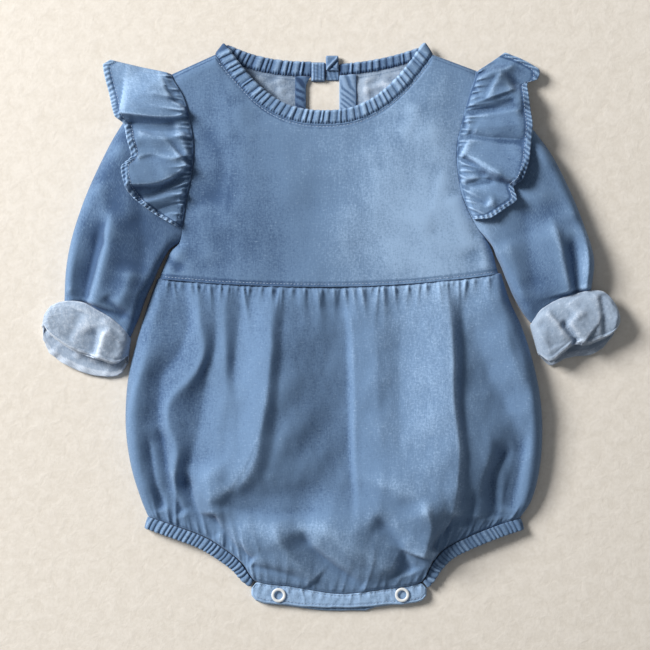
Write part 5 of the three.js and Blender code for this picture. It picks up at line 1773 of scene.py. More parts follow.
@dataclass
class Sleeve:
    """One long sleeve with the rolled cuff at its end."""

    side: Side
    finishes: Finishes
    shape: Table
    cuff: Table
    meets: Point
    folds: tuple[Fold, ...]
    cuff_folds: tuple[Fold, ...]
    cuff_high: float = 15.0
    cuff_wall: float = 1.5
    lip: float = 0.7  # the cuff's raw edge stands up by this much

    def plan(self, w: Array, t: Array, upper: bool = True) -> tuple[Array, Array]:
        """The sleeve in plan: it starts on the bodice's armhole and ends along the cuff's top edge."""
        field_at = {name: self.shape.smooth("along", t, name) for name in ("outX", "outY", "inX", "inY")}
        x, y = mix(field_at["outX"], field_at["inX"], w), mix(field_at["outY"], field_at["inY"], w)
        first, last = self.shape.rows[0], self.shape.rows[-1]
        start_x, start_y = mix(first[1], first[3], w), mix(first[2], first[4], w)
        end_x, end_y = mix(last[1], last[3], w), mix(last[2], last[4], w)
        arm_x, arm_y, _, _ = bodice_plan(0.0 if self.side is Side.LEFT else 1.0, 1 - w * (1 - UNDERARM_UP), True)
        across = mix(self.meets[0], self.meets[1], w)
        cuff_x, cuff_y = self.cuff.smooth("across", across, "topX"), self.cuff.smooth("across", across, "topY")
        near, far = (1 - t) ** 2, t**4
        x = x + (arm_x - start_x) * near + (cuff_x - end_x) * far + self.side.out * SEAM_GAP * (1 - t)
        return x, y + (arm_y - start_y) * near + (cuff_y + 2 * CURVED_SEAM_GAP - end_y) * far

    def _turn(self, w: Array, t: Array) -> Array:
        """How far the cloth has come round from the tube's two edges."""
        at = {name: self.shape.smooth("along", t, name) for name in ("outX", "outY", "inX", "inY")}
        width = np.hypot(at["outX"] - at["inX"], at["outY"] - at["inY"])
        return quarter_round(np.minimum(w, 1 - w) * width / mix(ARMHOLE_ROUND, 7.0, t))

    def top(self, w: Array, t: Array) -> Array:
        """The height of the sleeve's upper face, without its folds."""
        return SEAM_HEIGHT + (self.shape.smooth("along", t, "high") - SEAM_HEIGHT) * self._turn(w, t)

    def raised(self, x: Array, y: Array, w: Array, t: Array) -> Array:
        """The folds of the upper face."""
        crumple = Crumple(12 if self.side is Side.LEFT else 14, 26, 0.34).heights(x, y)
        return (fold_heights(self.folds, x, y) + crumple) * quarter_round(t / 0.2) * self._turn(w, t)

    def _tube(self) -> FlatTube:
        """The sleeve as a tube."""
        return FlatTube(
            plan=self.plan,
            top=self.top,
            bottom=lambda w, t: SEAM_HEIGHT * (1 - self._turn(w, t)),
            raised=self.raised,
            lowered=lambda x, y, w, t: np.maximum(Crumple(18, 24, 0.3).heights(x, y), 0) * self._turn(w, t),
            wall=CLOTH,
        )

    def surface(self, w: Array, t: Array) -> Array:
        """Points of the upper face."""
        x, y = self.plan(w, t)
        return np.stack([x, y, self.top(w, t) + self.raised(x, y, w, t)], -1)

    def _cuff_tube(self, inset: float, longer: float, wall: float, seed: int) -> FlatTube:
        """One layer of the rolled cuff."""

        def plan(w: Array, t: Array, upper: bool) -> tuple[Array, Array]:
            """The layer in plan."""
            layer = "front" if upper else "back"
            stretch = t * (1 + longer)
            x0, y0 = self.cuff.smooth("across", w, "topX"), self.cuff.smooth("across", w, "topY")
            x1, y1 = self.cuff.smooth("across", w, layer + "X"), self.cuff.smooth("across", w, layer + "Y")
            return mix(x0, x1, stretch), mix(y0, y1, stretch)

        def ends(w: Array) -> Array:
            """The round of the cuff's two ends."""
            return quarter_round(np.minimum(w, 1 - w) / 0.13)

        middle = self.cuff_high / 2 - 2
        return FlatTube(
            plan=plan,
            top=lambda w, t: middle
            + (self.cuff_high * (0.72 + 0.28 * np.sin(math.pi * mix(0.1, 0.85, t))) - middle) * ends(w),
            bottom=lambda w, t: middle * (1 - ends(w)),
            raised=lambda x, y, w, t: (
                fold_heights(self.cuff_folds, x, y)
                + Crumple(seed, 19, 0.22).heights(x, y)
                + Crumple(seed + 1, 4, 0.12).heights(x, y)
                - 0.8 * smooth(1 - t / 0.12)
                + self.lip * smooth((t - 0.93) / 0.03)
            )
            * ends(w),
            lowered=lambda x, y, w, t: np.maximum(Crumple(seed + 2, 9, 0.7).heights(x, y), 0) * ends(w),
            wall=wall,
            inset=inset,
        )

    def build(self) -> None:
        """Builds the sleeve and its cuff."""
        across = crowded(84, 0.9)
        wall, heights = self._tube().grid(across, mix(crowded(96, 0.5), np.linspace(0, 1, 96), 0.3))
        x, y = wall.outer[..., 0], wall.outer[..., 1]
        wall.marks = {"wash_and_painted_light": wash_and_painted_light(x, y), "worn_and_shaded": wear_and_hollow_shade(heights, 12, 0.5)}
        name = f"sleeve_{self.side.value}"
        piece = cloth_object(name + "_cloth", [wall], (self.finishes.right, self.finishes.wrong))
        Dressing((name,), Slot.CHAMBRAY, (0.25, 0.185), 0.0245, "laid", ()).give(piece)
        roll, roll_heights = self._cuff_tube(0.0, 0.0, self.cuff_wall, 60).grid(crowded(90, 0.85), crowded(44, 0.8))
        lining, lining_heights = self._cuff_tube(self.cuff_wall + 0.5, 0.04, 0.7, 70).grid(
            crowded(90, 0.85), np.linspace(0.25, 1, 30)
        )
        for layer, rise in ((roll, roll_heights), (lining, lining_heights)):
            edge = np.zeros(rise.shape)
            edge[-4:] = 0.8
            edge[:2] = 0.3
            layer.marks = {
                "wash_and_painted_light": np.full(rise.shape, 0.72 if self.side is Side.LEFT else 0.5),
                "worn_and_shaded": np.clip(wear_and_hollow_shade(rise, 9, 0.5) + edge, 0, 1),
            }
        name = f"cuff_{self.side.value}"
        piece = cloth_object(name + "_cloth", [roll, lining], (self.finishes.wrong,))
        Dressing((name,), Slot.WRONG_SIDE, (0.15, 0.06), 0.009, "folded", ()).give(piece)


LEFT_SLEEVE = Table(
    "along outX outY inX inY high",
    (
        (0, -118, 187, -111.5, 62, 9),
        (0.14, -139, 169, -118, 57.5, 11),
        (0.28, -156, 147, -122.5, 50.5, 12),
        (0.43, -169, 123, -126.5, 43, 13),
        (0.58, -181, 96, -130.5, 34, 13.5),
        (0.73, -190.5, 67, -136, 22, 13.5),
        (0.87, -195, 42, -140.5, 9, 13),
        (1, -196, 18, -146.5, -5, 11),
    ),
)
RIGHT_SLEEVE = Table(
    "along outX outY inX inY high",
    (
        (0, 106, 187, 115, 64, 9),
        (0.14, 128, 169, 119.5, 58, 11),
        (0.28, 147, 146, 122, 51, 12),
        (0.43, 162, 126, 125.5, 43, 13),
        (0.58, 175, 101, 129, 33, 13.5),
        (0.73, 185.5, 76, 133, 22, 13.5),
        (0.87, 193.5, 50, 138.5, 10, 13),
        (1, 192, 26, 142.5, 3, 11),
    ),
)
LEFT_CUFF = Table(
    "across topX topY frontX frontY backX backY",
    (
        (0, -211.5, 9, -212.5, 4, -213.5, 1.5),
        (0.15, -205, 15.5, -206.5, -4, -212, -8.5),
        (0.3, -194.5, 18.5, -197.5, -11, -206, -18.5),
        (0.45, -182.5, 17.5, -188, -16.5, -194, -26.5),
        (0.6, -171, 11.5, -178.5, -20, -181, -32),
        (0.75, -161, 5.5, -168.5, -23, -168.5, -34.5),
        (0.9, -152, -2.5, -157.5, -26, -156, -33.5),
        (1, -147.5, -9, -149.5, -21, -149.5, -26),
    ),
)
RIGHT_CUFF = Table(
    "across topX topY frontX frontY backX backY",
    (
        (0, 212.5, 7.5, 212.5, 4, 212, 2.5),
        (0.15, 208.5, 16, 206, -4, 205.5, -8),
        (0.3, 200.5, 25, 197.5, -8, 198.5, -14.5),
        (0.45, 189, 26, 187.5, -11.5, 190.5, -18.5),
        (0.6, 177, 23, 178, -11.5, 181, -19.5),
        (0.75, 164.5, 19, 170, -17, 171.5, -21.5),
        (0.9, 152.5, 11, 160, -24.5, 160.5, -26.5),
        (1, 146, 1, 151.5, -19, 152, -20.5),
    ),
)
LEFT_SLEEVE_FOLDS = (
    Fold(((-160, 90), (-163, 66), (-169, 41), (-177, 16)), 6.2, 3.6, 15, 1.3, 0.3, 0.03),
    Fold(((-166, 84), (-172, 60), (-178, 34), (-181, 14)), -4.6, 7, 4, 1.3, 0.3, 0.05),
    Fold(((-190, 84), (-192, 50), (-193, 22)), 2.2, 4, 6, 1.3, 0.4, 0.1),
    Fold(((-146, 46), (-150, 28), (-158, 12)), 4.1, 9, 10, 1.3, 0.3, 0.2),
    Fold(((-140, 90), (-138, 56), (-142, 22)), -2.2, 12, 10, 1.3),
    Fold(((-158, 140), (-150, 104), (-148, 70)), 2, 14, 12, 1.3),
    Fold(((-172, 110), (-166, 84), (-168, 60)), 1.6, 6, 9, 1.3),
    Fold(((-150, 6), (-158, 14), (-166, 24)), -1.6, 4, 4, 1.3),
)
RIGHT_SLEEVE_FOLDS = (
    Fold(((158, 84), (166, 62), (170, 44), (175, 24)), 4.6, 9, 4, 1.3, 0.3, 0.04),
    Fold(((176, 70), (179, 46), (180, 24)), -4.1, 4, 4, 1.3, 0.3, 0.04),
    Fold(((184, 86), (188, 60), (187, 26)), 3.8, 5, 5, 1.3, 0.3, 0.04),
    Fold(((140, 96), (144, 60), (150, 20)), -2.7, 13, 10, 1.3),
    Fold(((150, 150), (156, 118), (154, 88)), 1.8, 12, 12, 1.3),
    Fold(((126, 66), (136, 40), (140, 16)), 1.8, 7, 8, 1.3),
    Fold(((170, 120), (176, 96), (180, 76)), 1.6, 8, 6, 1.3),
)
LEFT_CUFF_FOLDS = (
    Fold(((-161, 0), (-167, -6.6), (-169, -13), (-172, -19), (-176, -22)), 3.0, 1.3, 9, 1.2, 0.25, 0.02),
    Fold(((-174, 2), (-172.5, -8), (-173.5, -14), (-175, -22)), -4.2, 8, 1.8, 1.2, 0.35, 0.02),
    Fold(((-183, 12), (-187, 2), (-194, -10)), -1.6, 8, 3, 1.2, 0.1, 0.1),
    Fold(((-153, -4), (-157, -12), (-160, -22)), -1.2, 4, 4),
    Fold(((-168, 8), (-160, -4), (-152, -14)), 1.0, 3, 6, 1.2),
)
RIGHT_CUFF_FOLDS = (
    Fold(((157, 14), (160, 8.4), (166, 2), (171.6, -4.4), (178, -10)), 2.6, 6, 1.2, 1.2, 0.2, 0.04),
    Fold(((168, 5), (172, 0.5), (176, -5), (180, -11)), -4.6, 2.4, 1.6, 1.2, 0.3, 0.02),
    Fold(((170, 3), (173.5, -0.4), (179, -7.3), (185.4, -12)), 3.2, 1.3, 12, 1.2, 0.2, 0.02),
    Fold(((197, 25), (199, 8), (200, -8)), -1.8, 1.6, 5, 1.2, 0.1, 0.1),
    Fold(((195, 25), (197, 8), (198, -8)), 1.0, 6, 1.6, 1.2, 0.1, 0.1),
    Fold(((174, 19), (178, 12), (182, 4)), 1.3, 1.6, 6, 1.2, 0.1, 0.3),
    Fold(((150, 4), (158, -4), (163, -16)), -1.3, 3, 6, 1.2, 0.2, 0.1),
)


# ---------------------------------------------------------------- ruffles

LEFT_RUFFLE = Table(
    "along outX outY lift",
    (
        (0, -163, 197, -3),
        (0.03, -168, 193, 3),
        (0.17, -163, 171, 4.5),
        (0.31, -158, 154, 6.5),
        (0.35, -152, 149, 1),
        (0.43, -149, 137, 4.5),
        (0.5, -146, 125, 1),
        (0.57, -153, 117, 5.5),
        (0.68, -150, 102, 6.5),
        (0.73, -145, 95, 1),
        (0.81, -139, 90, 4.5),
        (0.88, -131, 84, 1),
        (0.95, -121, 78, 3),
        (1, -114, 74, 0.5),
    ),
)
RIGHT_RUFFLE = Table(
    "along outX outY lift",
    (
        (0, 128, 202, -2),
        (0.04, 140, 197, 5),
        (0.08, 152.5, 189.5, 2),
        (0.12, 151.5, 182.5, 1),
        (0.17, 144, 179.5, 1.5),
        (0.24, 144, 170, 5.5),
        (0.31, 145.5, 159, 1.5),
        (0.39, 146.5, 148, 4.5),
        (0.47, 145.5, 135, 1),
        (0.56, 143.5, 121, 5.5),
        (0.65, 139, 108, 6.5),
        (0.7, 133, 103, 1),
        (0.77, 135, 93, 5),
        (0.84, 127, 87, 1),
        (0.92, 116, 80, 4),
        (1, 104, 79, 0.5),
    ),
)
LEFT_RUFFLE_FOLDS = (
    Fold(((-156, 157), (-128, 154), (-111, 155), (-105, 161)), 4.3, 1.2, 16, 1.25, 0.02, 0.05),
    Fold(((-150, 149), (-130, 146), (-112, 149)), -2.8, 6, 2.5, 1.25, 0.1, 0.2),
    Fold(((-146, 143), (-124, 138), (-106, 141)), 2, 5, 2.0, 1.25, 0.2, 0.1),
    Fold(((-145, 123), (-131, 127), (-115, 123), (-102, 130)), 2.5, 2.2, 5, 1.25, 0.1, 0.1),
    Fold(((-150, 104), (-128, 105), (-115, 111), (-104, 120)), 4.7, 1.2, 13, 1.25, 0.02, 0.05),
    Fold(((-143, 92), (-131, 97), (-117, 105), (-106, 112)), -3.1, 3.5, 3.5, 1.25, 0.05, 0.15),
    Fold(((-139, 91), (-124, 95), (-106, 97)), 2.3, 2.0, 5, 1.25, 0.1, 0.1),
    Fold(((-128, 82), (-119, 88), (-109, 90)), -2.3, 3, 3, 1.25, 0.1, 0.2),
    Fold(((-162, 184), (-140, 180), (-116, 178)), 1.4, 6, 8, 1.25),
    Fold(((-120, 170), (-112, 166), (-107, 164)), -1.7, 2.4, 2.4, 1.25, 0.3, 0.05),
)
RIGHT_RUFFLE_FOLDS = (
    Fold(((103, 179), (115, 185), (130, 190), (136, 194)), 2.2, 8, 1.4, 1.25, 0.05, 0.2),
    Fold(((114, 166), (119, 177), (126, 188)), 1.9, 4, 1.4, 1.25, 0.1, 0.2),
    Fold(((97, 162), (115, 168), (136, 176)), 3.1, 1.3, 8, 1.25, 0.05, 0.15),
    Fold(((98, 157), (118, 161), (138, 168)), -2.5, 4, 3, 1.25, 0.15, 0.2),
    Fold(((97, 153), (122, 156), (141, 159)), 2.2, 9, 1.4, 1.25, 0.05, 0.15),
    Fold(((98, 140), (118, 137), (142, 135)), -3.4, 2.6, 2.2, 1.25, 0.1, 0.05),
    Fold(((94, 129), (104, 123), (115, 115), (136, 105)), 4, 1.3, 12, 1.25, 0.05, 0.05),
    Fold(((95, 124), (104, 117), (114, 109)), -2.5, 3, 3, 1.25, 0.1, 0.2),
    Fold(((94, 107), (110, 110), (126, 109)), 2.2, 1.5, 4, 1.25, 0.05, 0.2),
    Fold(((95, 102), (106, 105), (120, 108)), -2, 2.2, 2.2, 1.25, 0.05, 0.2),
    Fold(((95, 97), (104, 94), (116, 90)), -2.5, 2.4, 2.6, 1.25, 0.05, 0.2),
    Fold(((96, 93), (108, 88), (122, 92)), 1.9, 3, 4, 1.25, 0.1, 0.2),
)


@dataclass
class Ruffle:
    """A gathered strip sewn into the armhole seam, which lies over the sleeve in waves and folds."""

    side: Side
    finishes: Finishes
    shape: Table
    top: float
    drop: float
    folds: tuple[Fold, ...]
    sleeve: Sleeve
    paler: float
    from_seam: float = 0.6
    hem: float = 4.4
    waves: float = 0.95

    def _support(self, x: Array, y: Array) -> Array:
        """The lowest soft tent over the sleeve that the ruffle can lie on."""
        w, t = np.meshgrid(np.linspace(0, 1, 25), np.linspace(0, 0.75, 17))
        px, py, pz = (self.sleeve.surface(w, t)[..., k].ravel() for k in range(3))
        high = np.zeros(x.shape)
        for k in range(len(px)):
            far = np.maximum(np.hypot(x - px[k], y - py[k]) - 7.0, 0)
            high = np.maximum(high, pz[k] - 0.55 * far)
        soft = high.copy()
        for _ in range(60):
            soft = np.maximum(high, soften(soft, 1))
        return soft

    def build(self) -> Array:
        """Builds the ruffle.

        Returns:
            The line along which its hem is stitched.
        """
        s, w = np.meshgrid(np.linspace(0, 1, 270), crowded(42, 0.5))
        seam_y = self.top - self.drop * s
        seam_x = BODICE_SIDES.smooth("y", seam_y, self.side.value) + self.side.out * self.from_seam
        smooth_x, smooth_y = (self.shape.smooth("along", s, name) for name in ("outX", "outY"))
        sharp_x, sharp_y = (self.shape.straight("along", s, name) for name in ("outX", "outY"))
        out_x, out_y = mix(sharp_x, smooth_x, 0.6), mix(sharp_y, smooth_y, 0.6)
        x, y = mix(seam_x, out_x, w), mix(seam_y, out_y, w)
        lift = mix(self.shape.straight("along", s, "lift"), self.shape.smooth("along", s, "lift"), 0.7)
        rise = np.where(lift < 0, lift * w, lift * (0.18 + 0.82 * w)) * self.waves
        wide = np.hypot(out_x - seam_x, out_y - seam_y) * w
        run = s * self.drop
        gather = Gathers(
            seed=81 if self.side is Side.LEFT else 85, length=self.drop, pitch=4.4, rise=3.3, wide=1.0, short=6,
            long=30, spread=0.1, slant=0.22,
        )
        gathers = gather.heights(run, wide) * smooth(wide / 1.2)
        folds = fold_heights(self.folds, x, y)
        from_hem = np.hypot(out_x - x, out_y - y)
        rolled = 0.55 * smooth((self.hem - from_hem) / 0.8) - 0.35 * ridge(from_hem - self.hem, 0.7)
        turns = np.sin(2 * math.pi * (run + 0.5 * from_hem) / 2.6 + 0.8 * np.sin(run / 5))
        ribs = 0.42 * turns * smooth((self.hem - from_hem) / 0.8)
        seam_w = (UNDERARM_Y[self.side], SHOULDER_LEFT[1] if self.side is Side.LEFT else SHOULDER_RIGHT[1])
        on_seam = self.sleeve.surface(np.clip((seam_w[1] - seam_y) / (seam_w[1] - seam_w[0]), 0, 1), 0.0 * s)[..., 2]
        lying = self._support(x, y) + 0.7 + rise
        start = on_seam + 0.35
        base = mix(start, np.maximum(lying, start - 4), smooth(wide / 5.0))
        detail = (gathers + folds + Crumple(90, 11, 0.12).heights(x, y)) * smooth(wide / 1.5) + rolled + ribs
        low = np.maximum(base + detail, 0.4)
        low = np.maximum(low, mix(start, self._support(x, y) + 0.25, smooth(wide / 3)))
        lower = np.dstack([x, y, low])
        upper = np.dstack([x, y, low + CLOTH])
        worn_and_shaded = wear_and_hollow_shade(detail, 9, 0.3) + 0.25 * turns * (from_hem < self.hem) + 0.5 * ridge(from_hem, 0.8)
        # painted shade along the hem's fold and where the ruffle meets the seam
        hem_and_seam_shadow = ridge(from_hem - self.hem, 0.9) * 0.6 + ridge(wide, 1.6) * 0.7
        marks = {"wash_and_painted_light": np.clip(wash_and_painted_light(x, y) + self.paler, 0, 1), "worn_and_shaded": np.clip(worn_and_shaded - hem_and_seam_shadow, -0.5, 1.3)}
        piece = cloth_object(
            f"ruffle_{self.side.value}_cloth",
            [Wall(upper, lower, np.dstack([wide, run * 1.5]), marks, rim=0.6)],
            (self.finishes.right, self.finishes.wrong),
        )
        Dressing(
            (f"ruffle_{self.side.value}",),
            Slot.CHAMBRAY,
            (0.19, 0.052),
            0.0064,
            "gathered",
            (f"sleeve_{self.side.value}",),
        ).give(piece)
        row = int(np.argmin(np.abs(from_hem[:, 135] - self.hem)))
        return upper[row] + np.array([0, 0, 0.12])


# ---------------------------------------------------------------- legs and crotch

CASING_LIFT = Table("along z", ((0, 3.9), (0.2, 4.9), (0.5, 6.2), (0.8, 6.2), (1, 5.2)))
CROTCH_BANDS = Table(
    "x top front back",
    (
        (-59, -192.5, -196.5, -198),
        (-56, -188.5, -201, -201.5),
        (-50, -187.5, -203.5, -204),
        (-30, -190.8, -205.5, -206.5),
        (-5, -194.8, -207, -209),
        (6, -196.3, -207.3, -209.8),
        (25, -194.8, -206.3, -209.3),
        (33, -193.6, -205.5, -206.2),
        (52, -190.8, -204.5, -204.5),
        (62, -189, -203, -203),
        (67, -188.8, -201, -201),
        (70, -192.5, -197.5, -197.5),
    ),
)


@dataclass
class LegCasing:
    """A leg's elastic casing: across the front, round at the side and back underneath, drawn into fine ruches."""

    side: Side
    finishes: Finishes
    width: float = 9.0
    narrowed: float = 3.4
    thick: float = 2.2
    ruche: float = 3.5
    rise: float = 1.25
    tuck: float = 0.035

    def _seam(self, share: Array) -> tuple[Array, Array]:
        """Places along the leg seam, from the crotch to the side, and its direction there."""
        ends = (SKIRT_HEM.rows[0][0], CROTCH_LEFT) if self.side is Side.LEFT else (CROTCH_RIGHT, SKIRT_HEM.rows[-1][0])
        fine = np.linspace(ends[0], ends[1], 600)
        if self.side is Side.LEFT:
            fine = fine[::-1]
        line = np.column_stack([fine, SKIRT_HEM.smooth("x", fine, "y")])
        run = run_along(line)
        at = share * run[-1]
        place = np.column_stack([np.interp(at, run, line[:, k]) for k in (0, 1)])
        ahead = np.column_stack([np.interp(np.minimum(at + 1.2, run[-1]), run, line[:, k]) for k in (0, 1)])
        behind = np.column_stack([np.interp(np.maximum(at - 1.2, 0), run, line[:, k]) for k in (0, 1)])
        return place, unit(ahead - behind)

    def build(self) -> None:
        """Builds the casing."""
        out = 1.0 if self.side is Side.LEFT else -1.0
        half = self.thick / 2
        front = np.linspace(0, 1, 230)
        place, tangent = self._seam(front * (1 - self.tuck))
        across = np.column_stack([-tangent[:, 1], tangent[:, 0]]) * out
        z = CASING_LIFT.smooth("along", front, "z")
        wide = self.width - self.narrowed * np.exp(-front / 0.12)
        upright = np.array([0, 0, 1.0])
        rows = [
            (np.append(p, h), np.append(a, 0.0), upright, w, 1.0) for p, a, h, w in zip(place, across, z, wide)
        ]
        radius = (z[-1] - half) / 2
        last, last_across, ahead = place[-1], across[-1], tangent[-1]
        for angle in np.linspace(0, math.pi, 13)[1:-1]:
            up = np.append(ahead * math.sin(angle), math.cos(angle))
            at = np.append(last + ahead * radius * math.sin(angle), half + radius + radius * math.cos(angle))
            rows.append((at, np.append(last_across, 0.0), up, self.width, 1.0))
        for k in range(len(front) - 1, -1, -2):
            at = np.append(place[k], half)
            rows.append((at, np.append(across[k], 0.0), np.array([0, 0, -1.0]), wide[k], 0.35))
        centre, sideways, upward, breadth, strength = (np.array(part) for part in zip(*rows))
        run = run_along(centre)
        rng = np.random.default_rng(101 if self.side is Side.LEFT else 103)
        count = int(run[-1] / self.ruche)
        knots = (np.arange(count + 1) + rng.uniform(-0.22, 0.22, count + 1)) * run[-1] / count
        tall = rng.uniform(0.7, 1.25, count + 2)
        angles = np.linspace(0, 2 * math.pi, 24, endpoint=False)
        q = 0.5 - 0.5 * np.sign(np.cos(angles)) * np.abs(np.cos(angles)) ** 0.75
        lift = np.sign(np.sin(angles)) * np.abs(np.sin(angles)) ** 0.6
        S, Q = np.meshgrid(run, q, indexing="ij")
        L = np.broadcast_to(lift, S.shape)
        phase = np.interp(S + 1.1 * np.sin(2.2 * Q + S / 31.0), knots, np.arange(count + 1))
        part = phase - np.floor(phase)
        size = tall[np.clip(np.floor(phase).astype(int), 0, count)]
        crest = np.abs(np.sin(math.pi * part)) ** 0.7
        flat_band = 0.55 + 0.45 * np.abs(np.cos(2 * math.pi * Q)) ** 0.5
        swell = self.rise * size * (crest - 0.5) * flat_band * strength[:, None] * (L > 0)
        edge = 0.55 * (crest - 0.5) * size * smooth((Q - 0.8) / 0.2)
        reach = CURVED_SEAM_GAP + Q * breadth[:, None] + edge
        height = half * L + swell * smooth(np.abs(L) * 1.6)
        outer = centre[:, None] + sideways[:, None] * reach[..., None] + upward[:, None] * height[..., None]
        outer[..., 2] = np.maximum(outer[..., 2], 0.02)
        middle = outer.mean(1, keepdims=True)
        inner = mix(outer, middle, 0.3)
        # pale on the ruches' crests as wear, darker between them as painted shade
        worn_and_shaded = np.clip(0.1 + 0.9 * crest * size - 0.15, 0, 1)
        marks = {"wash_and_painted_light": np.full(S.shape, 0.42), "worn_and_shaded": worn_and_shaded}
        round_it = np.concatenate([Q, Q[:, :1] + 1], 1) * self.width
        cloth = np.dstack([round_it, np.repeat(run[:, None], len(q) + 1, 1) * 1.8])
        name = f"leg_casing_{self.side.value}"
        piece = cloth_object(name + "_cloth", [Wall(outer, inner, cloth, marks, ring=True)], (self.finishes.right,))
        Dressing((name,), Slot.CHAMBRAY, (0.21, 0.018), 0.0037, "gathered", ()).give(piece)


@dataclass
class Crotch:
    """The crotch's two bands, one over the other, and the snap rings pressed on to the front one."""

    finishes: Finishes
    thick: float = 2.2
    snaps: tuple[tuple[str, float, float], ...] = (("left", -39.0, -197.5), ("right", 52.0, -197.2))
    ring: float = 5.3
    hole: float = 3.2
    ring_thick: float = 0.9

    def _band(self, front: bool) -> Wall:
        """One of the two bands."""
        first, last = CROTCH_BANDS.rows[0][0], CROTCH_BANDS.rows[-1][0]
        name = "front" if front else "back"
        low = self.thick + SEAM_GAP if front else 0.0
        x, w = np.meshgrid(np.linspace(first, last, 240), crowded(30, 0.8))
        seam = np.minimum(CROTCH_BANDS.straight("x", x, "top"), SKIRT_HEM.smooth("x", x, "y") - SEAM_GAP)
        hem = CROTCH_BANDS.straight("x", x, name)
        wave = 0.35 * np.sin(x / 6.3 + 1.0) + 0.25 * np.sin(x / 2.9) if front else 0.5 * np.sin(x / 7.1)
        hem = hem + wave * 0.7
        y = mix(seam, hem, w)
        down = seam - y
        inset = np.minimum(np.minimum(down, y - hem), np.minimum(x - first, last - x) * 0.8)
        top = low + 0.3 + (self.thick - 0.45) * quarter_round(inset / 1.3)
        ripples = Gathers(
            seed=111 if front else 113, length=132, pitch=5.4, rise=0.8, wide=1.5, short=4, long=14, spread=0.03,
            slant=0.4,
        ).heights(x - first, down)
        grooves = -0.32 * ridge(down - 1.8, 0.7) - 0.32 * ridge(y - hem - 2.2, 0.7)
        dimple = sum(-0.5 * smooth(1.6 - np.hypot(x - sx, y - sy) / 5.2) for _, sx, sy in self.snaps)
        relief = ripples + grooves + Crumple(115, 7, 0.14).heights(x, y) + (dimple if front else 0)
        rise = relief * smooth(inset / 1.2)
        upper = np.dstack([x, y, np.maximum(top + rise, low + 0.25)])
        lower = np.dstack([x, y, np.full(x.shape, low)])
        worn_and_shaded = np.clip(wear_and_hollow_shade(rise, 8, 0.3) + 0.25 * ridge(inset, 0.9), 0, 1)
        marks = {"wash_and_painted_light": np.full(x.shape, 0.95 if front else 0.75), "worn_and_shaded": worn_and_shaded}
        return Wall(upper, lower, np.dstack([x, y]), marks)

    def _ring(self, side: str, x: float, y: float) -> None:
        """One snap ring."""
        profile = []
        for angle in np.linspace(0, 2 * math.pi, 18, endpoint=False):
            r = (self.ring + self.hole) / 2 + (self.ring - self.hole) / 2 * math.cos(angle)
            z = 0.45 * self.ring_thick + (0.55 if math.sin(angle) > 0 else 0.45) * self.ring_thick * math.sin(angle)
            profile.append((r, z))
        r, z = np.array(profile).T
        around = np.linspace(0, 2 * math.pi, 56, endpoint=False)
        base = 2 * self.thick + 2 * SEAM_GAP
        points = np.stack(
            [
                x + r[None] * np.cos(around)[:, None],
                y + r[None] * np.sin(around)[:, None],
                base + np.broadcast_to(z, (len(around), len(r))),
            ],
            -1,
        )
        rows, cols = points.shape[:2]
        number = np.arange(rows * cols).reshape(rows, cols)
        a, b = number, np.roll(number, -1, 0)
        faces = np.stack([a, b, np.roll(b, -1, 1), np.roll(a, -1, 1)], -1).reshape(-1, 4)
        flat = points.reshape(-1, 3)
        if signed_volume(flat, faces) < 0:
            faces = faces[:, ::-1]
        mesh = bpy.data.meshes.new(f"snap_ring_{side}")
        mesh.from_pydata(metres(flat).tolist(), [], faces.tolist())
        mesh.polygons.foreach_set("use_smooth", np.ones(len(mesh.polygons), bool))
        mesh.materials.append(self.finishes.enamel)
        piece = bpy.data.objects.new(f"snap_ring_{side}", mesh)
        bpy.context.scene.collection.objects.link(piece)
        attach(piece, BODY)
        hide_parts(f"snap_{side}")
        log.info("snap ring %s at %.1f, %.1f", side, x, y)

    def build(self) -> Wall:
        """Builds the bands and the rings.

        Returns:
            The front band's wall, for its stitching.
        """
        walls = {}
        for front in (False, True):
            walls[front] = self._band(front)
            node = "crotch_band_front" if front else "crotch_band_back"
            piece = cloth_object(node + "_cloth", [walls[front]], (self.finishes.right,))
            rests = ("crotch_band_back",) if front else ()
            Dressing((node,), Slot.CHAMBRAY, (0.129, 0.0155), 0.00195, "folded", rests).give(piece)
        for side, x, y in self.snaps:
            self._ring(side, x, y)
        return walls[True]


# ---------------------------------------------------------------- stitching


class StitchInput(Enum):
    """The named inputs of the stitching tree."""

    PITCH = "Stitch Pitch"
    LENGTH = "Stitch Length"
    THICK = "Thread Thickness"
    WANDER = "Wander"
    SEED = "Seed"
    THREAD = "Thread"


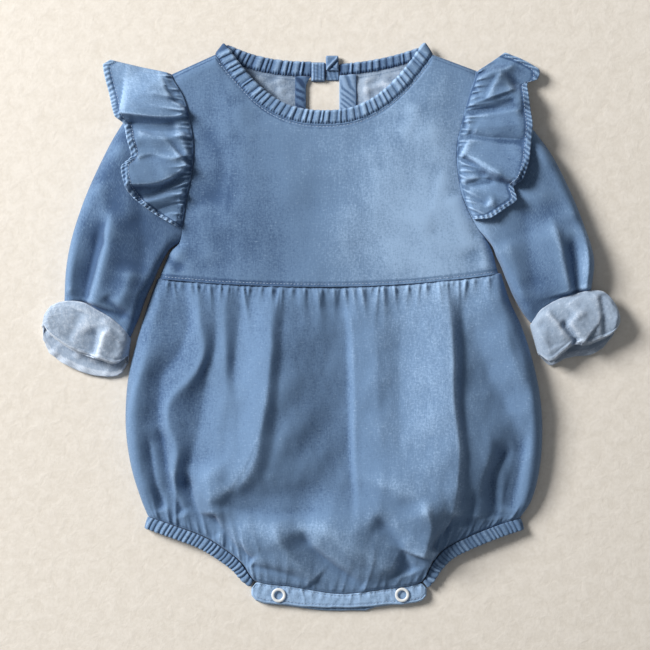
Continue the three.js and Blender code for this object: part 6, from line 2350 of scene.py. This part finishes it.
@dataclass
class Topstitching:
    """Rows of stitches along the seams and hems, made by one tree of Geometry Nodes."""

    finishes: Finishes
    pitch: float = 2.5
    length: float = 1.75
    thick: float = 0.34
    wander: float = 0.09
    seed: int = 3
    lines: list[Array] = field(default_factory=list)

    def add(self, line: Array) -> None:
        """Takes in a line of points, in the garment's plan, that a row of stitches follows."""
        self.lines.append(line)

    def _tree(self) -> tuple[bpy.types.NodeTree, dict[StitchInput, str]]:
        """Builds the tree: it lays a small rounded stitch on every step along each line.

        Returns:
            The tree and the identifiers of its named inputs.
        """
        tree = bpy.data.node_groups.new("stitch_rows", "GeometryNodeTree")
        face = tree.interface
        face.new_socket("Geometry", in_out="INPUT", socket_type="NodeSocketGeometry")
        kinds = dict.fromkeys(StitchInput, "NodeSocketFloat")
        kinds |= {StitchInput.SEED: "NodeSocketInt", StitchInput.THREAD: "NodeSocketMaterial"}
        found = {}
        for name, kind in kinds.items():
            found[name] = face.new_socket(name.value, in_out="INPUT", socket_type=kind).identifier
        face.new_socket("Geometry", in_out="OUTPUT", socket_type="NodeSocketGeometry")

        def node(kind: str, settings: dict[str, Any], inputs: dict[Any, Any]) -> bpy.types.Node:
            """Adds a node with its settings and its inputs."""
            made = tree.nodes.new(kind)
            for key, setting in settings.items():
                setattr(made, key, setting)
            for key, given in inputs.items():
                if isinstance(given, bpy.types.NodeSocket):
                    tree.links.new(given, made.inputs[key])
                else:
                    made.inputs[key].default_value = given
            return made

        start, end = node("NodeGroupInput", {}, {}), tree.nodes.new("NodeGroupOutput")
        given = start.outputs
        curve = node("GeometryNodeMeshToCurve", {}, {"Mesh": given["Geometry"]})
        even = node(
            "GeometryNodeResampleCurve",
            {"mode": "LENGTH"},
            {"Curve": curve.outputs[0], "Length": given[StitchInput.PITCH.value]},
        )
        tangent = node("GeometryNodeInputTangent", {}, {})
        ball = node("GeometryNodeMeshUVSphere", {}, {"Segments": 6, "Rings": 4, "Radius": 0.5})
        size = node(
            "ShaderNodeCombineXYZ",
            {},
            {0: given[StitchInput.LENGTH.value], 1: given[StitchInput.THICK.value], 2: given[StitchInput.THICK.value]},
        )
        stitch = node("GeometryNodeTransform", {}, {"Geometry": ball.outputs[0], "Scale": size.outputs[0]})
        turn = node("FunctionNodeAlignRotationToVector", {"axis": "X"}, {"Vector": tangent.outputs[0]})
        away = node("ShaderNodeMath", {"operation": "MULTIPLY"}, {0: given[StitchInput.WANDER.value], 1: -1.0})
        low = node("ShaderNodeCombineXYZ", {}, {0: away.outputs[0], 1: away.outputs[0]})
        high = node(
            "ShaderNodeCombineXYZ", {}, {0: given[StitchInput.WANDER.value], 1: given[StitchInput.WANDER.value]}
        )
        drift = node(
            "FunctionNodeRandomValue",
            {"data_type": "FLOAT_VECTOR"},
            {0: low.outputs[0], 1: high.outputs[0], "Seed": given[StitchInput.SEED.value]},
        )
        moved = node("GeometryNodeSetPosition", {}, {"Geometry": even.outputs[0], "Offset": drift.outputs[0]})
        placed = node(
            "GeometryNodeInstanceOnPoints",
            {},
            {"Points": moved.outputs[0], "Instance": stitch.outputs[0], "Rotation": turn.outputs[0]},
        )
        real = node("GeometryNodeRealizeInstances", {}, {"Geometry": placed.outputs[0]})
        shaded = node("GeometryNodeSetShadeSmooth", {}, {"Geometry": real.outputs[0]})
        done = node(
            "GeometryNodeSetMaterial", {}, {"Geometry": shaded.outputs[0], "Material": given[StitchInput.THREAD.value]}
        )
        tree.links.new(done.outputs[0], end.inputs[0])
        return tree, found

    def build(self) -> None:
        """Builds all the rows as one piece."""
        points = np.concatenate(self.lines)
        edges, start = [], 0
        for line in self.lines:
            edges += [(start + k, start + k + 1) for k in range(len(line) - 1)]
            start += len(line)
        mesh = bpy.data.meshes.new("topstitching")
        mesh.from_pydata(metres(points).tolist(), edges, [])
        piece = placed("topstitching", mesh)
        tree, inputs = self._tree()
        modifier = piece.modifiers.new("stitches", "NODES")
        modifier.node_group = tree
        settings = {
            StitchInput.PITCH: self.pitch * MM,
            StitchInput.LENGTH: self.length * MM,
            StitchInput.THICK: self.thick * MM,
            StitchInput.WANDER: self.wander * MM,
            StitchInput.SEED: self.seed,
            StitchInput.THREAD: self.finishes.thread,
        }
        for name, setting in settings.items():
            modifier[inputs[name]] = setting
        settle(piece)
        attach(piece, BODY)
        log.info("topstitching: %d rows, %d faces", len(self.lines), len(piece.data.polygons))


# ---------------------------------------------------------------- studio


@dataclass(frozen=True)
class Studio:
    """The tabletop, the soft light from the upper left and the camera straight above."""

    view: float = 477.75  # what the photograph's frame spans on the garment
    aim: Point = (-4.8, 1.5)
    high: float = 1.5  # the camera above the table, metres
    garment: float = 0.008  # the height that the view's width is measured at, metres
    table: float = 1.6  # half the tabletop, metres
    table_below: float = 0.0002  # how far the tabletop lies under the garment, metres
    key: float = 178.0
    key_place: tuple[float, float, float] = (-2.5, 1.5, 1.7)
    key_size: float = 1.2
    key_tint: Colour = (1.0, 0.985, 0.965, 1.0)
    fill: float = 0.2
    fill_tint: Colour = (0.93, 0.96, 1.0, 1.0)

    def _light(self, name: str, place: tuple[float, float, float], size: float, power: float, tint: Colour) -> None:
        """Adds a square soft light that faces the garment."""
        data = bpy.data.lights.new(name, "AREA")
        data.shape, data.size, data.energy, data.color = "SQUARE", size, power, tint[:3]
        light = placed(name, data)
        light.location = place
        x, y, z = place
        light.rotation_euler = (0.0, math.atan2(math.hypot(x, y), z), math.atan2(y, x))

    def build(self) -> None:
        """Builds the studio."""
        mesh = bpy.data.meshes.new("tabletop")
        turns = ((-1, -1), (1, -1), (1, 1), (-1, 1))
        corners = [(self.table * across, self.table * along, -self.table_below) for across, along in turns]
        mesh.from_pydata(corners, [], [(0, 1, 2, 3)])
        mesh.materials.append(TabletopFinish("tabletop").material())
        placed("tabletop", mesh)
        self._light("key_light", self.key_place, self.key_size, self.key, self.key_tint)
        world = bpy.data.worlds.new("studio")
        world.use_nodes = True
        background = world.node_tree.nodes["Background"]
        background.inputs["Color"].default_value = self.fill_tint
        background.inputs["Strength"].default_value = self.fill
        bpy.context.scene.world = world
        bpy.context.scene.view_settings.view_transform = "Standard"
        data = bpy.data.cameras.new("camera")
        data.sensor_fit = "HORIZONTAL"
        data.angle = 2 * math.atan(self.view * MM / 2 / (self.high - self.garment))
        data.clip_start, data.clip_end = 0.05, 20.0
        camera = placed("camera", data)
        camera.location = (*(np.array(self.aim) + SHIFT[:2]) * MM, self.high)
        bpy.context.scene.camera = camera
        log.info("studio: camera %.2f m above the table", self.high)


# ---------------------------------------------------------------- the whole romper


def seam_stitches(rows: Topstitching, front: Panel, bodice: Bodice) -> None:
    """Lays the rows of stitches round the waist and the front neck.

    Args:
        rows: Where the rows are gathered.
        front: The bodice front's map.
        bodice: The bodice, for how far its stitches are from the seams.
    """
    u = np.linspace(0.02, 0.98, 360)
    _, _, low, high = bodice_plan(u, 0 * u, True)
    rows.add(front.on(u, bodice.stitch_from_seam / (high - low), 0.16))
    us = np.linspace(0.0, 1.0, 900)
    x, _, low, high = bodice_plan(us, 0 * us + 1, True)
    inside = (x > NECK_LEFT + 3) & (x < NECK_RIGHT - 3)
    us, x, low, high = us[inside], x[inside], low[inside], high[inside]
    slope = neckline_y(x + 0.5, True) - neckline_y(x - 0.5, True)
    rows.add(front.on(us, 1 - bodice.stitch_from_seam * np.sqrt(1 + slope**2) / (high - low), 0.16))


def band_stitches(rows: Topstitching, band: Wall) -> None:
    """Lays the rows of stitches along the crotch band's two edges."""
    upper = band.outer
    down = np.abs(upper[:, 120, 1] - upper[0, 120, 1])
    total = down[-1]
    for distance in (1.8, total - 2.2):
        row = int(np.argmin(np.abs(down - distance)))
        rows.add(upper[row, 8:-8] + np.array([0, 0, 0.14]))


def main() -> None:
    """Builds the romper, piece by piece, and the studio round it."""
    logging.basicConfig(level=logging.INFO, format="%(name)s: %(message)s")
    finishes = Finishes()
    rows = Topstitching(finishes)
    bodice = Bodice(finishes)
    front, _ = bodice.build()
    Keyhole().facing(finishes)
    NeckFrill(finishes).build()
    Closure(finishes).build()
    Skirt(finishes).build()
    left = Sleeve(
        side=Side.LEFT, finishes=finishes, shape=LEFT_SLEEVE, cuff=LEFT_CUFF, meets=(0.27, 0.99),
        folds=LEFT_SLEEVE_FOLDS, cuff_folds=LEFT_CUFF_FOLDS,
    )
    right = Sleeve(
        side=Side.RIGHT, finishes=finishes, shape=RIGHT_SLEEVE, cuff=RIGHT_CUFF, meets=(0.42, 0.99),
        folds=RIGHT_SLEEVE_FOLDS, cuff_folds=RIGHT_CUFF_FOLDS,
    )
    left.build()
    right.build()
    rows.add(Ruffle(
        side=Side.LEFT, finishes=finishes, shape=LEFT_RUFFLE, top=186.0, drop=113.0, folds=LEFT_RUFFLE_FOLDS,
        sleeve=left, paler=0.34,
    ).build())
    rows.add(Ruffle(
        side=Side.RIGHT, finishes=finishes, shape=RIGHT_RUFFLE, top=187.0, drop=106.0, folds=RIGHT_RUFFLE_FOLDS,
        sleeve=right, paler=-0.12,
    ).build())
    for side in Side:
        LegCasing(side, finishes).build()
    band = Crotch(finishes).build()
    seam_stitches(rows, front, bodice)
    band_stitches(rows, band)
    rows.build()
    Studio().build()


if __name__ == "__main__":
    main()
